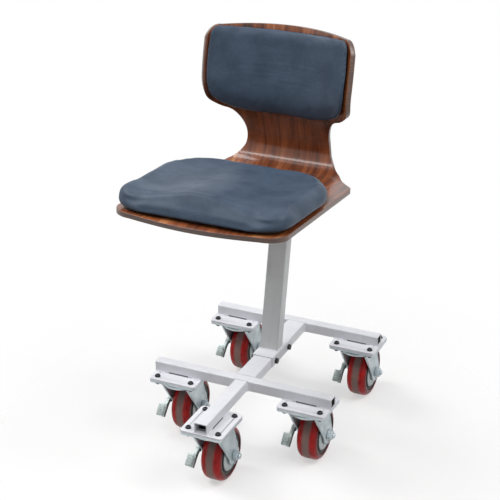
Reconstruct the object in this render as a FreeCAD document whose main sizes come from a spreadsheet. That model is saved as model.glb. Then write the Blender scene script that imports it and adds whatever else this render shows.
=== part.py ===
import FreeCAD
import Part
import Sketcher
import math
import os
import re

# A maintenance stool: a bent-plywood seat with two pads, on a raked column over a low tube base
# that rolls on five swivel casters with brake pedals. Lengths are in millimetres and angles in
# degrees. X runs across the stool, the front is towards -Y and the floor is z = 0.

SIZES = {
    # Wheels
    "wheel_diameter": 125,
    "tread_width": 48,
    "tread_depth": 14,
    "tread_round": 12,
    "rim_width": 44,
    "rim_depth": 6,
    "web_thick": 12,
    "hub_diameter": 48,
    "hub_width": 46,
    "cover_diameter": 76,
    "cover_thick": 3,
    "cover_bore_gap": 1,
    "axle_diameter": 12,
    "axle_head_across": 19,
    "axle_head_thick": 6,
    "axle_nut_thick": 10,
    "axle_thread_end": 5,
    # Forks
    "wheel_gap": 4,
    "fork_thick": 5,
    "leg_front": 34,
    "leg_rear": 42,
    "axle_boss_diameter": 46,
    "crown_diameter": 86,
    "crown_thick": 6,
    "caster_trail": 48,
    "running_gap": 0.05,
    # Brake pedals
    "brake_pin_height": 80,
    "brake_pin_setback": 18,
    "brake_pin_diameter": 8,
    "brake_pin_reach": 12,
    "brake_pin_head_diameter": 13,
    "brake_pin_head_thick": 2,
    "knuckle_diameter": 16,
    "knuckle_inset": 1.5,
    "knuckle_gap": 0.3,
    "pedal_run": 23,
    "pedal_fall": 8,
    "pedal_tip_run": 43,
    "pedal_tip_fall": 31,
    "pedal_thick": 3,
    "pedal_arm_depth": 8,
    "pedal_width": 21,
    # Caster plates and swivels
    "caster_height": 160,
    "caster_plate_thick": 5,
    "plate_long": 115,
    "plate_short": 100,
    "plate_corner": 8,
    "bolt_span_long": 84,
    "bolt_span_short": 71,
    "ball_diameter": 6,
    "ball_circle_diameter": 58,
    "swivel_play": 0.3,
    "race_diameter": 76,
    "race_wall": 4,
    "race_depth": 4.5,
    "kingpin_diameter": 12,
    "kingpin_head_diameter": 26,
    "kingpin_head_thick": 5,
    # Bolts of the base and the seat
    "bolt_diameter": 8,
    "bolt_hole_gap": 0.5,
    "bolt_head_across": 13,
    "bolt_head_thick": 5.5,
    "bolt_nut_thick": 6.5,
    "bolt_thread_end": 3,
    # Base tubes
    "mount_plate_thick": 5,
    "tube_height": 25,
    "tube_depth": 25,
    "tube_wall": 2,
    "tube_corner": 2.5,
    "spine_width": 45,
    "nose_width": 30,
    "front_cross_length": 434,
    "rear_cross_length": 420,
    "front_caster_spread": 316,
    "rear_caster_spread": 314,
    "front_cross_lead": 85.25,
    "cross_spacing": 321,
    "nose_reach": 167,
    "nose_overhang": 55,
    # Column and saddle
    "saddle_setback": 162,
    "saddle_length": 110,
    "saddle_thick": 3,
    "saddle_drop": 22,
    "saddle_bolt_span": 75,
    "column_setback": 155,
    "column_width": 45,
    "column_depth": 30,
    "column_wall": 2,
    "column_corner": 2.5,
    "column_rake": 10.5,
    # Seat carrier
    "arm_height": 25,
    "arm_lead": 25,
    "arm_tail": 24,
    "strap_thick": 5,
    "strap_width": 40,
    "strap_length": 240,
    "front_strap_setback": 140,
    "rear_strap_setback": 310,
    "seat_bolt_span": 190,
    "seat_bolt_head_diameter": 16,
    "seat_bolt_head_thick": 4,
    # Plywood shell
    "shell_thick": 11,
    "pan_front_lead": 261,
    "pan_front_height": 651,
    "pan_tilt": 5.2,
    "pan_length": 447,
    "pan_corner_setback": 415,
    "pan_front_width": 380,
    "pan_rear_width": 374,
    "pan_front_bow": 14,
    "pan_front_corner": 44,
    "lip_radius": 70,
    "lip_turn": 20,
    "bend_radius": 50,
    "neck_lean": 22,
    "neck_rise": 48,
    "lumbar_radius": 160,
    "back_lean": 11.5,
    "back_run": 260,
    "back_width": 342,
    "back_hollow": 70,
    "shell_height": 336,
    # Pads
    "board_thick": 5,
    "board_inset": 24,
    "board_corner": 90,
    "cushion_lead": 12,
    "cushion_length": 352,
    "cushion_width": 388,
    "cushion_height": 38,
    "back_pad_thick": 10,
    "back_pad_width": 316,
    "back_pad_foot": 64,
    "back_pad_length": 182,
    "back_board_thick": 3,
    "back_board_inset": 14,
    "back_board_gap": 1.2,
    "pad_gap": 0.75,
    # Every cut runs past its piece by this much
    "overrun": 2,
}

BALL_COUNT = 10

doc = FreeCAD.newDocument("maintenance_stool")
sheet = doc.addObject("Spreadsheet::Sheet", "sizes")
for row, (alias, number) in enumerate(SIZES.items(), start=1):
    sheet.set("A%d" % row, alias)
    sheet.set("B%d" % row, str(number))
    sheet.setAlias("B%d" % row, alias)
doc.recompute()

sub_parts = []


def size(alias):
    """The sheet's value of one size."""
    return float(getattr(sheet, alias))


def formula(text):
    """A formula in size names, spelled as the document's expressions need it."""
    return re.sub(r"[a-z][a-z_]*[a-z]", lambda found: prefixed(found.group()), text)


def prefixed(word):
    """A size's name with its sheet before it, or any other word as it is."""
    return "sizes." + word if word in SIZES else word


def bind(item, name, text):
    """Ties one property of an object to a formula in size names."""
    item.setExpression(name, formula(text))


def place(item, x="0", y="0", z="0"):
    """Ties an object's place to formulas in size names."""
    for axis, text in zip("xyz", (x, y, z)):
        bind(item, "Placement.Base." + axis, text)


def keep(item, label):
    """Marks an object as one of the stool's sub-parts."""
    item.Label = label
    sub_parts.append(item)
    return item


# Sketches and solid features

def sketch_on(body, role, offset="0"):
    """An empty sketch on one of the body's own planes, moved along the plane's normal."""
    sketch = body.newObject("Sketcher::SketchObject", body.Name + "_sketch")
    plane = [feature for feature in body.Origin.OriginFeatures if feature.Role == role][0]
    sketch.AttachmentSupport = [(plane, "")]
    sketch.MapMode = "FlatFace"
    bind(sketch, "AttachmentOffset.Base.z", offset)
    return sketch


def fix_point(sketch, curve, point, x, y):
    """Holds one point of a sketch at a place given by two formulas."""
    for kind, text in (("DistanceX", x), ("DistanceY", y)):
        number = sketch.addConstraint(Sketcher.Constraint(kind, -1, 1, curve, point, 1))
        bind(sketch, "Constraints[%d]" % number, text)


def polygon(sketch, corners):
    """A closed outline of straight lines through corners given as pairs of formulas."""
    first = sketch.GeometryCount
    count = len(corners)
    turns = [2 * math.pi * index / count for index in range(count)]
    rough = [FreeCAD.Vector(math.cos(turn), math.sin(turn), 0) for turn in turns]
    for index in range(count):
        line = Part.LineSegment(rough[index], rough[(index + 1) % count])
        sketch.addGeometry(line, False)
    for index in range(count):
        after = first + (index + 1) % count
        sketch.addConstraint(Sketcher.Constraint("Coincident", first + index, 2, after, 1))
    for index, (x, y) in enumerate(corners):
        fix_point(sketch, first + index, 1, x, y)


def rectangle(sketch, wide, tall, x="0", y="0"):
    """A rectangle about a given centre."""
    left, right = "%s - (%s) / 2" % (x, wide), "%s + (%s) / 2" % (x, wide)
    low, high = "%s - (%s) / 2" % (y, tall), "%s + (%s) / 2" % (y, tall)
    polygon(sketch, [(left, low), (right, low), (right, high), (left, high)])


def circle(sketch, diameter, x="0", y="0"):
    """A circle about a given centre."""
    curve = sketch.addGeometry(Part.Circle(), False)
    fix_point(sketch, curve, 3, x, y)
    number = sketch.addConstraint(Sketcher.Constraint("Diameter", curve, 2))
    bind(sketch, "Constraints[%d]" % number, diameter)


def new_body(name):
    """An empty body."""
    return doc.addObject("PartDesign::Body", name)


def pad(body, sketch, length, side="Symmetric", back=False):
    """Thickens a sketch, about its plane unless another side is named."""
    feature = body.newObject("PartDesign::Pad", body.Name + "_pad")
    feature.Profile = sketch
    feature.SideType = side
    feature.Reversed = back
    bind(feature, "Length", length)
    sketch.Visibility = False
    return feature


def pocket(body, sketch, length=None):
    """Cuts a sketch out of the body about its plane, right through unless a length is given."""
    feature = body.newObject("PartDesign::Pocket", body.Name + "_pocket")
    feature.Profile = sketch
    feature.SideType = "Symmetric"
    if length:
        bind(feature, "Length", length)
    else:
        feature.Type = "ThroughAll"
    return feature


def turned(body, sketch, role):
    """Revolves a sketch once about one of the body's own axes."""
    feature = body.newObject("PartDesign::Revolution", body.Name + "_turned")
    axis = [item for item in body.Origin.OriginFeatures if item.Role == role][0]
    feature.Profile = sketch
    feature.ReferenceAxis = (axis, [""])
    feature.Angle = 360
    return feature


def round_edges(body, base, radius, chosen):
    """Rounds the edges of a feature that a test picks out."""
    doc.recompute()
    names = ["Edge%d" % (index + 1) for index, edge in enumerate(base.Shape.Edges) if chosen(edge)]
    feature = body.newObject("PartDesign::Fillet", body.Name + "_round")
    feature.Base = (base, names)
    bind(feature, "Radius", radius)
    return feature


def runs_along(edge, axis):
    """True for a straight edge along X, Y or Z, given as 0, 1 or 2."""
    if edge.Curve.TypeId != "Part::GeomLine":
        return False
    return abs(edge.Curve.Direction[axis]) > 1 - 1e-6


# Plain solids and fasteners

AXIS_TURNS = {"x": FreeCAD.Rotation(FreeCAD.Vector(0, 1, 0), 90), "z": FreeCAD.Rotation()}


def cylinder(name, diameter, length, axis="z"):
    """A cylinder that starts at its place and runs along X or Z."""
    item = doc.addObject("Part::Cylinder", name)
    bind(item, "Radius", "(%s) / 2" % diameter)
    bind(item, "Height", length)
    item.Placement.Rotation = AXIS_TURNS[axis]
    return item


def hexagon(name, across, thick, axis="z"):
    """A six-sided prism, given across its flats, that starts at its place."""
    item = doc.addObject("Part::Prism", name)
    item.Polygon = 6
    bind(item, "Circumradius", "(%s) / sqrt(3)" % across)
    bind(item, "Height", thick)
    item.Placement.Rotation = AXIS_TURNS[axis]
    return item


def joined(name, first, second):
    """One solid out of two."""
    item = doc.addObject("Part::Fuse", name)
    item.Base = first
    item.Tool = second
    return item


def cut_out(name, whole, tool):
    """One solid less another."""
    item = doc.addObject("Part::Cut", name)
    item.Base = whole
    item.Tool = tool
    return item


def group(label, items):
    """Separate solids that share one node."""
    item = doc.addObject("Part::Compound", label)
    item.Links = items
    return keep(item, label)


def nut(name, across, thick, bore, axis, at):
    """A hexagon nut at a place, along an axis."""
    block = hexagon(name + "_block", across, thick, axis)
    hole = cylinder(name + "_bore", bore, thick, axis)
    place(block, *at)
    place(hole, *at)
    return cut_out(name, block, hole)


# Places that several pieces share

FRONT_CROSS_Y = "-front_cross_lead"
REAR_CROSS_Y = "cross_spacing - front_cross_lead"
NOSE_Y = "-front_cross_lead - nose_reach"
PLATE_TOP = "caster_height + mount_plate_thick"
TUBE_TOP = PLATE_TOP + " + tube_height"
TUBE_MIDDLE = PLATE_TOP + " + tube_height / 2"
SADDLE_TOP = TUBE_TOP + " + saddle_thick"
BOLT_HOLE = "bolt_diameter + 2 * bolt_hole_gap"
AXLE_HEIGHT = "wheel_diameter / 2"
FORK_GAP = "tread_width + 2 * wheel_gap"
FORK_WIDTH = FORK_GAP + " + 2 * fork_thick"
CROWN_TOP = "caster_height - caster_plate_thick - ball_diameter - swivel_play"
CROWN_FOOT = CROWN_TOP + " - crown_thick"
LEVER_WIDTH = "brake_pin_reach - brake_pin_head_thick - knuckle_gap - knuckle_inset"

# Each caster's name, its place across and along, and whether its plate's long side runs across.
CASTERS = [
    ("nose", "0", NOSE_Y, False),
    ("front_left", "-front_caster_spread / 2", FRONT_CROSS_Y, True),
    ("front_right", "front_caster_spread / 2", FRONT_CROSS_Y, True),
    ("rear_left", "-rear_caster_spread / 2", REAR_CROSS_Y, True),
    ("rear_right", "rear_caster_spread / 2", REAR_CROSS_Y, True),
]


def plate_sides(across):
    """The width, depth and bolt spans of a plate by the way its long side runs."""
    if across:
        return "plate_long", "plate_short", "bolt_span_long", "bolt_span_short"
    return "plate_short", "plate_long", "bolt_span_short", "bolt_span_long"


def bolt_places(across):
    """The four bolt centres of a plate, from its middle."""
    span_x, span_y = plate_sides(across)[2:]
    return [("%s%s / 2" % (i, span_x), "%s%s / 2" % (j, span_y)) for i in ("-", "") for j in ("-", "")]


def drilled_plate(name, across, thick):
    """A plate with rounded corners and four bolt holes, standing on z = 0."""
    body = new_body(name)
    wide, deep = plate_sides(across)[:2]
    outline = sketch_on(body, "XY_Plane")
    rectangle(outline, wide, deep)
    slab = pad(body, outline, thick, "One side")
    round_edges(body, slab, "plate_corner", lambda edge: runs_along(edge, 2))
    holes = sketch_on(body, "XY_Plane")
    for x, y in bolt_places(across):
        circle(holes, BOLT_HOLE, x, y)
    pocket(body, holes)
    return body


# Casters

def caster_plate(name, x, y, across):
    """Pressed top plate with a ring round the swivel balls and a hole for the kingpin."""
    body = drilled_plate(name + "_caster_plate", across, "caster_plate_thick")
    ring = sketch_on(body, "XY_Plane")
    circle(ring, "race_diameter")
    circle(ring, "race_diameter - 2 * race_wall")
    pad(body, ring, "race_depth", "One side", True)
    hole = sketch_on(body, "XY_Plane")
    circle(hole, "kingpin_diameter + 2 * running_gap")
    pocket(body, hole)
    place(body, x, y, "caster_height - caster_plate_thick")
    keep(body, name + "_caster_plate")


def fork(name, x, y):
    """Pressed fork: a round crown and two legs raked back to the axle, the left one holding the brake pin."""
    body = new_body(name + "_fork")
    crown = sketch_on(body, "XY_Plane", CROWN_FOOT)
    circle(crown, "crown_diameter")
    pad(body, crown, "crown_thick", "One side")
    legs = sketch_on(body, "YZ_Plane")
    polygon(legs, [
        ("-leg_front", CROWN_FOOT),
        ("caster_trail - axle_boss_diameter / 2", AXLE_HEIGHT),
        ("caster_trail + axle_boss_diameter / 2", AXLE_HEIGHT),
        ("leg_rear", CROWN_FOOT),
    ])
    pad(body, legs, FORK_WIDTH)
    boss = sketch_on(body, "YZ_Plane")
    circle(boss, "axle_boss_diameter", "caster_trail", AXLE_HEIGHT)
    pad(body, boss, FORK_WIDTH)
    gap = sketch_on(body, "XZ_Plane")
    polygon(gap, [
        ("-(%s) / 2" % FORK_GAP, "-overrun"),
        ("(%s) / 2" % FORK_GAP, "-overrun"),
        ("(%s) / 2" % FORK_GAP, CROWN_FOOT),
        ("-(%s) / 2" % FORK_GAP, CROWN_FOOT),
    ])
    pocket(body, gap)
    pin_hole = sketch_on(body, "YZ_Plane", "fork_thick / 2 - (%s) / 2" % FORK_WIDTH)
    circle(pin_hole, "brake_pin_diameter", "brake_pin_setback", "brake_pin_height")
    pocket(body, pin_hole, "fork_thick + 2 * overrun")
    axle_hole = sketch_on(body, "YZ_Plane")
    circle(axle_hole, "axle_diameter + 2 * running_gap", "caster_trail", AXLE_HEIGHT)
    pocket(body, axle_hole)
    pin_bore = sketch_on(body, "XY_Plane", CROWN_FOOT)
    circle(pin_bore, "kingpin_diameter + 2 * running_gap")
    pocket(body, pin_bore)
    place(body, x, y)
    keep(body, name + "_fork")


def wheel_body(name, x, y):
    """An empty body whose own X axis is the wheel's axle."""
    body = new_body(name)
    place(body, x, "%s + caster_trail" % y, AXLE_HEIGHT)
    return body


def tread(name, x, y):
    """Cast polyurethane tread with rounded shoulders."""
    body = wheel_body(name + "_tread", x, y)
    outline = sketch_on(body, "XZ_Plane")
    rectangle(outline, "tread_width", "tread_depth", "0", "wheel_diameter / 2 - tread_depth / 2")
    ring = turned(body, outline, "X_Axis")
    outer = size("wheel_diameter") / 2
    inner = outer - size("tread_depth")
    round_edges(body, ring, "tread_round", lambda edge: is_ring(edge, (inner + outer) / 2))
    keep(body, name + "_tread")


def is_ring(edge, least):
    """True for a full circle larger than a given radius."""
    return edge.Closed and edge.Curve.TypeId == "Part::GeomCircle" and edge.Curve.Radius > least


def wheel_core(name, x, y):
    """Wheel centre: rim, web and hub, bored for the axle."""
    body = wheel_body(name + "_wheel_core", x, y)
    outline = sketch_on(body, "XZ_Plane")
    bore = "axle_diameter / 2 + running_gap"
    rim = "wheel_diameter / 2 - tread_depth"
    half = [
        ("hub_width / 2", bore),
        ("hub_width / 2", "hub_diameter / 2"),
        ("web_thick / 2", "hub_diameter / 2"),
        ("web_thick / 2", rim + " - rim_depth"),
        ("rim_width / 2", rim + " - rim_depth"),
        ("rim_width / 2", rim),
    ]
    polygon(outline, half + [("-" + across, up) for across, up in reversed(half)])
    turned(body, outline, "X_Axis")
    keep(body, name + "_wheel_core")


def hub_covers(name, x, y):
    """The two pressed covers over the hub's ends."""
    covers = []
    for side, start in (("left", "-hub_width / 2 - cover_thick"), ("right", "hub_width / 2")):
        at = ("%s + %s" % (x, start), "%s + caster_trail" % y, AXLE_HEIGHT)
        disc = cylinder("%s_%s_cover_disc" % (name, side), "cover_diameter", "cover_thick", "x")
        bore = cylinder("%s_%s_cover_bore" % (name, side), "axle_diameter + 2 * cover_bore_gap",
                        "cover_thick", "x")
        place(disc, *at)
        place(bore, *at)
        covers.append(cut_out("%s_%s_cover" % (name, side), disc, bore))
    group(name + "_hub_covers", covers)


def axle_hardware(name, x, y):
    """Axle bolt with its nut, and the riveted brake pin."""
    along = "%s + caster_trail" % y
    left = "%s - (%s) / 2" % (x, FORK_WIDTH)
    right = "%s + (%s) / 2" % (x, FORK_WIDTH)
    shank = cylinder(name + "_axle_shank", "axle_diameter",
                     FORK_WIDTH + " + axle_nut_thick + axle_thread_end", "x")
    place(shank, left, along, AXLE_HEIGHT)
    head = hexagon(name + "_axle_head", "axle_head_across", "axle_head_thick", "x")
    place(head, left + " - axle_head_thick", along, AXLE_HEIGHT)
    bolt = joined(name + "_axle_bolt", shank, head)
    lock = nut(name + "_axle_nut", "axle_head_across", "axle_nut_thick", "axle_diameter", "x",
               (right, along, AXLE_HEIGHT))
    pin_start = (left + " - brake_pin_reach", "%s + brake_pin_setback" % y, "brake_pin_height")
    pin_shank = cylinder(name + "_brake_pin_shank", "brake_pin_diameter", "brake_pin_reach + fork_thick", "x")
    place(pin_shank, *pin_start)
    pin_head = cylinder(name + "_brake_pin_head", "brake_pin_head_diameter", "brake_pin_head_thick", "x")
    place(pin_head, *pin_start)
    pin = joined(name + "_brake_pin", pin_shank, pin_head)
    group(name + "_axle_hardware", [bolt, lock, pin])


def brake_pedal(name, x, y):
    """Foot pedal: a knuckle on the brake pin, a narrow bent arm and a wide tab on the arm's fall."""
    body = new_body(name + "_brake_pedal")
    knuckle = sketch_on(body, "YZ_Plane")
    circle(knuckle, "knuckle_diameter")
    pad(body, knuckle, LEVER_WIDTH, "One side", True)
    top = "3 * brake_pin_diameter / 4"
    upper = [
        ("0", top),
        ("-pedal_run", top + " - pedal_fall"),
        ("-pedal_tip_run", top + " - pedal_tip_fall"),
    ]
    levers = [(upper, "pedal_arm_depth", LEVER_WIDTH), (upper[1:], "pedal_thick", "pedal_width")]
    for line, depth, width in levers:
        lower = [("%s + %s" % (run, depth), "%s - %s" % (up, depth)) for run, up in reversed(line)]
        lever = sketch_on(body, "YZ_Plane")
        polygon(lever, line + lower)
        pad(body, lever, width, "One side", True)
    bore = sketch_on(body, "YZ_Plane")
    circle(bore, "brake_pin_diameter + 2 * running_gap")
    pocket(body, bore)
    place(body, "%s - (%s) / 2 - knuckle_inset" % (x, FORK_WIDTH), "%s + brake_pin_setback" % y,
          "brake_pin_height")
    keep(body, name + "_brake_pedal")


def kingpin(name, x, y):
    """Kingpin with its head under the fork's crown."""
    foot = "%s - swivel_play" % CROWN_FOOT
    shank = cylinder(name + "_kingpin_shank", "kingpin_diameter", "caster_height - (%s)" % foot)
    place(shank, x, y, foot)
    head = cylinder(name + "_kingpin_head", "kingpin_head_diameter", "kingpin_head_thick")
    place(head, x, y, foot + " - kingpin_head_thick")
    return joined(name + "_kingpin", shank, head)


def swivel_balls(name, x, y):
    """The ring of balls between the caster plate and the fork's crown."""
    balls = []
    for index in range(BALL_COUNT):
        ball = doc.addObject("Part::Sphere", "%s_ball" % name)
        turn = 360 * index / BALL_COUNT
        bind(ball, "Radius", "ball_diameter / 2")
        place(ball, "%s + ball_circle_diameter / 2 * cos(%s deg)" % (x, turn),
              "%s + ball_circle_diameter / 2 * sin(%s deg)" % (y, turn),
              "caster_height - caster_plate_thick - ball_diameter / 2")
        balls.append(ball)
    return balls


for name, x, y, across in CASTERS:
    caster_plate(name, x, y, across)
    fork(name, x, y)
    tread(name, x, y)
    wheel_core(name, x, y)
    hub_covers(name, x, y)
    axle_hardware(name, x, y)
    brake_pedal(name, x, y)

group("kingpins", [kingpin(name, x, y) for name, x, y, across in CASTERS])
group("swivel_balls", [ball for name, x, y, across in CASTERS for ball in swivel_balls(name, x, y)])


# Base

def mount_plates():
    """The plates welded under the tubes, one over each caster."""
    for name, x, y, across in CASTERS:
        body = drilled_plate(name + "_mount_plate", across, "mount_plate_thick")
        place(body, x, y, "caster_height")
        keep(body, name + "_mount_plate")


def caster_bolts():
    """Bolts with nuts, four to each caster, with their heads on the mount plates."""
    pieces = []
    grip = "mount_plate_thick + caster_plate_thick"
    for name, x, y, across in CASTERS:
        for dx, dy in bolt_places(across):
            at = ("%s + %s" % (x, dx), "%s + %s" % (y, dy))
            head = hexagon("bolt_head", "bolt_head_across", "bolt_head_thick")
            place(head, *at, PLATE_TOP)
            length = grip + " + bolt_nut_thick + bolt_thread_end"
            shank = cylinder("bolt_shank", "bolt_diameter", length)
            place(shank, *at, "%s - (%s)" % (PLATE_TOP, length))
            pieces.append(joined("bolt", shank, head))
            under = "caster_height - caster_plate_thick - bolt_nut_thick"
            pieces.append(nut("bolt_nut", "bolt_head_across", "bolt_nut_thick", "bolt_diameter", "z",
                              (*at, under)))
    group("caster_bolts", pieces)


def tube(name, role, wide, tall, wall, length, axis):
    """A hollow tube about its own middle, with its long outer edges rounded."""
    body = new_body(name)
    outline = sketch_on(body, role)
    rectangle(outline, wide, tall)
    bar = pad(body, outline, length)
    round_edges(body, bar, "tube_corner", lambda edge: runs_along(edge, axis))
    hollow = sketch_on(body, role)
    rectangle(hollow, "%s - 2 * %s" % (wide, wall), "%s - 2 * %s" % (tall, wall))
    pocket(body, hollow)
    return body


def cross_tube(name, length, y):
    """A tube across the stool, over a pair of casters."""
    body = tube(name, "YZ_Plane", "tube_depth", "tube_height", "tube_wall", length, 0)
    place(body, "0", y, TUBE_MIDDLE)
    keep(body, name)


def saddle_bolt_holes(body, middle):
    """Cross holes for the two saddle bolts, given the middle of the pair along the body."""
    holes = sketch_on(body, "YZ_Plane")
    for side in ("-", "+"):
        circle(holes, BOLT_HOLE, "%s %s saddle_bolt_span / 2" % (middle, side), "0")
    pocket(body, holes)


def spine_tube():
    """The wide tube between the cross-tubes, drilled for the saddle's bolts."""
    body = tube("spine_tube", "XZ_Plane", "spine_width", "tube_height", "tube_wall",
                "cross_spacing - tube_depth", 1)
    saddle_bolt_holes(body, "saddle_setback - cross_spacing / 2")
    place(body, "0", "cross_spacing / 2 - front_cross_lead", TUBE_MIDDLE)
    keep(body, "spine_tube")


def nose_tube():
    """The narrow tube ahead of the front cross-tube, over the nose caster."""
    length = "nose_reach + nose_overhang - tube_depth / 2"
    body = tube("nose_tube", "XZ_Plane", "nose_width", "tube_height", "tube_wall", length, 1)
    place(body, "0", "-front_cross_lead - tube_depth / 2 - (%s) / 2" % length, TUBE_MIDDLE)
    keep(body, "nose_tube")


mount_plates()
caster_bolts()
cross_tube("front_cross_tube", "front_cross_length", FRONT_CROSS_Y)
cross_tube("rear_cross_tube", "rear_cross_length", REAR_CROSS_Y)
spine_tube()
nose_tube()


# Column

def column_saddle():
    """U-shaped channel that straddles the spine and carries the column."""
    body = new_body("column_saddle")
    outer = "spine_width / 2 + saddle_thick"
    inner = "spine_width / 2"
    channel = sketch_on(body, "XZ_Plane")
    polygon(channel, [
        ("-(%s)" % outer, "tube_height / 2 - saddle_drop"),
        ("-(%s)" % outer, "tube_height / 2 + saddle_thick"),
        (outer, "tube_height / 2 + saddle_thick"),
        (outer, "tube_height / 2 - saddle_drop"),
        (inner, "tube_height / 2 - saddle_drop"),
        (inner, "tube_height / 2"),
        ("-" + inner, "tube_height / 2"),
        ("-" + inner, "tube_height / 2 - saddle_drop"),
    ])
    pad(body, channel, "saddle_length")
    saddle_bolt_holes(body, "0")
    place(body, "0", "saddle_setback - front_cross_lead", TUBE_MIDDLE)
    keep(body, "column_saddle")


def saddle_bolts():
    """Two cross bolts with nuts through the saddle and the spine."""
    pieces = []
    right = "spine_width / 2 + saddle_thick"
    length = "spine_width + 2 * saddle_thick + bolt_nut_thick + bolt_thread_end"
    for side in ("-", "+"):
        y = "saddle_setback - front_cross_lead %s saddle_bolt_span / 2" % side
        head = hexagon("saddle_bolt_head", "bolt_head_across", "bolt_head_thick", "x")
        place(head, right, y, TUBE_MIDDLE)
        shank = cylinder("saddle_bolt_shank", "bolt_diameter", length, "x")
        place(shank, "%s - (%s)" % (right, length), y, TUBE_MIDDLE)
        pieces.append(joined("saddle_bolt", shank, head))
        pieces.append(nut("saddle_nut", "bolt_head_across", "bolt_nut_thick", "bolt_diameter", "x",
                          ("-(%s) - bolt_nut_thick" % right, y, TUBE_MIDDLE)))
    group("saddle_bolts", pieces)


PAN_Y = "-front_cross_lead - pan_front_lead"
COLUMN_Y = "column_setback - front_cross_lead"
ARM_FOOT = "strap_thick + arm_height"


def on_pan(item, x="0", y="0", z="0"):
    """Places an object by the pan's underside: across, back from its front edge, and up from it."""
    item.Placement.Rotation = FreeCAD.Rotation(FreeCAD.Vector(1, 0, 0), -size("pan_tilt"))
    place(item, x,
          "%s + (%s) * cos(pan_tilt * 1deg) + (%s) * sin(pan_tilt * 1deg)" % (PAN_Y, y, z),
          "pan_front_height - (%s) * sin(pan_tilt * 1deg) + (%s) * cos(pan_tilt * 1deg)" % (y, z))


def column_tube():
    """Raked column: level at its foot on the saddle, and cut along the seat arm at its top."""
    body = new_body("column_tube")
    depth = "column_depth / cos(column_rake * 1deg)"
    wall = "column_wall / cos(column_rake * 1deg)"
    outline = sketch_on(body, "XY_Plane")
    rectangle(outline, "column_width", depth)
    post = pad(body, outline, "pan_front_height - (%s)" % SADDLE_TOP, "One side")
    rake = math.radians(size("column_rake"))
    post.UseCustomVector = True
    post.Direction = FreeCAD.Vector(0, math.tan(rake), 1)
    post.AlongSketchNormal = True
    round_edges(body, post, "column_corner", lambda edge: not level(edge))
    hollow = sketch_on(body, "XY_Plane")
    rectangle(hollow, "column_width - 2 * column_wall", "%s - 2 * %s" % (depth, wall))
    inside = pocket(body, hollow)
    inside.UseCustomVector = True
    inside.Direction = FreeCAD.Vector(0, math.tan(rake), 1)
    above = sketch_on(body, "YZ_Plane")
    near, far = "-column_depth", "pan_length"
    polygon(above, [
        (near, arm_line(near)),
        (far, arm_line(far)),
        (far, "pan_front_height"),
        (near, "pan_front_height"),
    ])
    pocket(body, above)
    place(body, "0", COLUMN_Y, SADDLE_TOP)
    keep(body, "column_tube")


def level(edge):
    """True for a straight edge that stays at one height."""
    return abs(edge.Curve.Direction.z) < 1e-6


def arm_line(back):
    """Height of the seat arm's underside above the saddle, at a distance behind the column's foot."""
    run = "(%s - (%s) + %s)" % (COLUMN_Y, PAN_Y, back)
    return "pan_front_height - %s * tan(pan_tilt * 1deg) - (%s) / cos(pan_tilt * 1deg) - (%s)" % (
        run, ARM_FOOT, SADDLE_TOP)


column_saddle()
saddle_bolts()
column_tube()


def column_head_run():
    """Distance along the pan from its front edge to the middle of the column's top, as a formula."""
    run = "(column_setback + pan_front_lead)"
    slope, rake = "tan(pan_tilt * 1deg)", "tan(column_rake * 1deg)"
    rise = "pan_front_height - (%s) / cos(pan_tilt * 1deg) - (%s) - %s * %s" % (
        ARM_FOOT, SADDLE_TOP, run, slope)
    climb = "(%s) / (1 + %s * %s)" % (rise, rake, slope)
    return "(%s + %s * %s) / cos(pan_tilt * 1deg)" % (run, climb, rake)


def seat_arm():
    """Tube welded on the column's top, reaching forwards under the pan."""
    front = "front_strap_setback - arm_lead"
    length = "%s + arm_tail - (%s)" % (column_head_run(), front)
    body = tube("seat_arm", "XZ_Plane", "column_width", "arm_height", "column_wall", length, 1)
    on_pan(body, "0", "%s + (%s) / 2" % (front, length), "-strap_thick - arm_height / 2")
    keep(body, "seat_arm")


def seat_strap(name, setback):
    """Flat bar between the arm and the pan, with a bolt at each end."""
    body = new_body(name)
    outline = sketch_on(body, "XY_Plane")
    rectangle(outline, "strap_length", "strap_width")
    pad(body, outline, "strap_thick", "One side", True)
    holes = sketch_on(body, "XY_Plane")
    for side in ("-", ""):
        circle(holes, BOLT_HOLE, side + "seat_bolt_span / 2", "0")
    pocket(body, holes)
    on_pan(body, "0", setback, "0")
    keep(body, name)


def seat_bolts():
    """Countersunk bolts through the pan and the straps, with nuts below."""
    pieces = []
    grip = "shell_thick + strap_thick"
    length = grip + " + bolt_nut_thick + bolt_thread_end"
    for setback in ("front_strap_setback", "rear_strap_setback"):
        for side in ("-", ""):
            x = side + "seat_bolt_span / 2"
            head = doc.addObject("Part::Cone", "seat_bolt_head")
            bind(head, "Radius1", "bolt_diameter / 2")
            bind(head, "Radius2", "seat_bolt_head_diameter / 2")
            bind(head, "Height", "seat_bolt_head_thick")
            on_pan(head, x, setback, "shell_thick - seat_bolt_head_thick")
            shank = cylinder("seat_bolt_shank", "bolt_diameter", length)
            on_pan(shank, x, setback, "shell_thick - (%s)" % length)
            pieces.append(joined("seat_bolt", shank, head))
            block = hexagon("seat_nut_block", "bolt_head_across", "bolt_nut_thick")
            hole = cylinder("seat_nut_bore", "bolt_diameter", "bolt_nut_thick")
            on_pan(block, x, setback, "-strap_thick - bolt_nut_thick")
            on_pan(hole, x, setback, "-strap_thick - bolt_nut_thick")
            pieces.append(cut_out("seat_nut", block, hole))
    group("seat_bolts", pieces)


seat_arm()
seat_strap("front_seat_strap", "front_strap_setback")
seat_strap("rear_seat_strap", "rear_strap_setback")
seat_bolts()


# Plywood shell, in the pan's own frame: y runs back from the front edge along the pan, and z up
# from the pan's underside. Above the bend, run is measured up the rear face from the bend's end:
# the neck leans forwards, the lumbar curve turns it and the back leans away.

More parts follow.
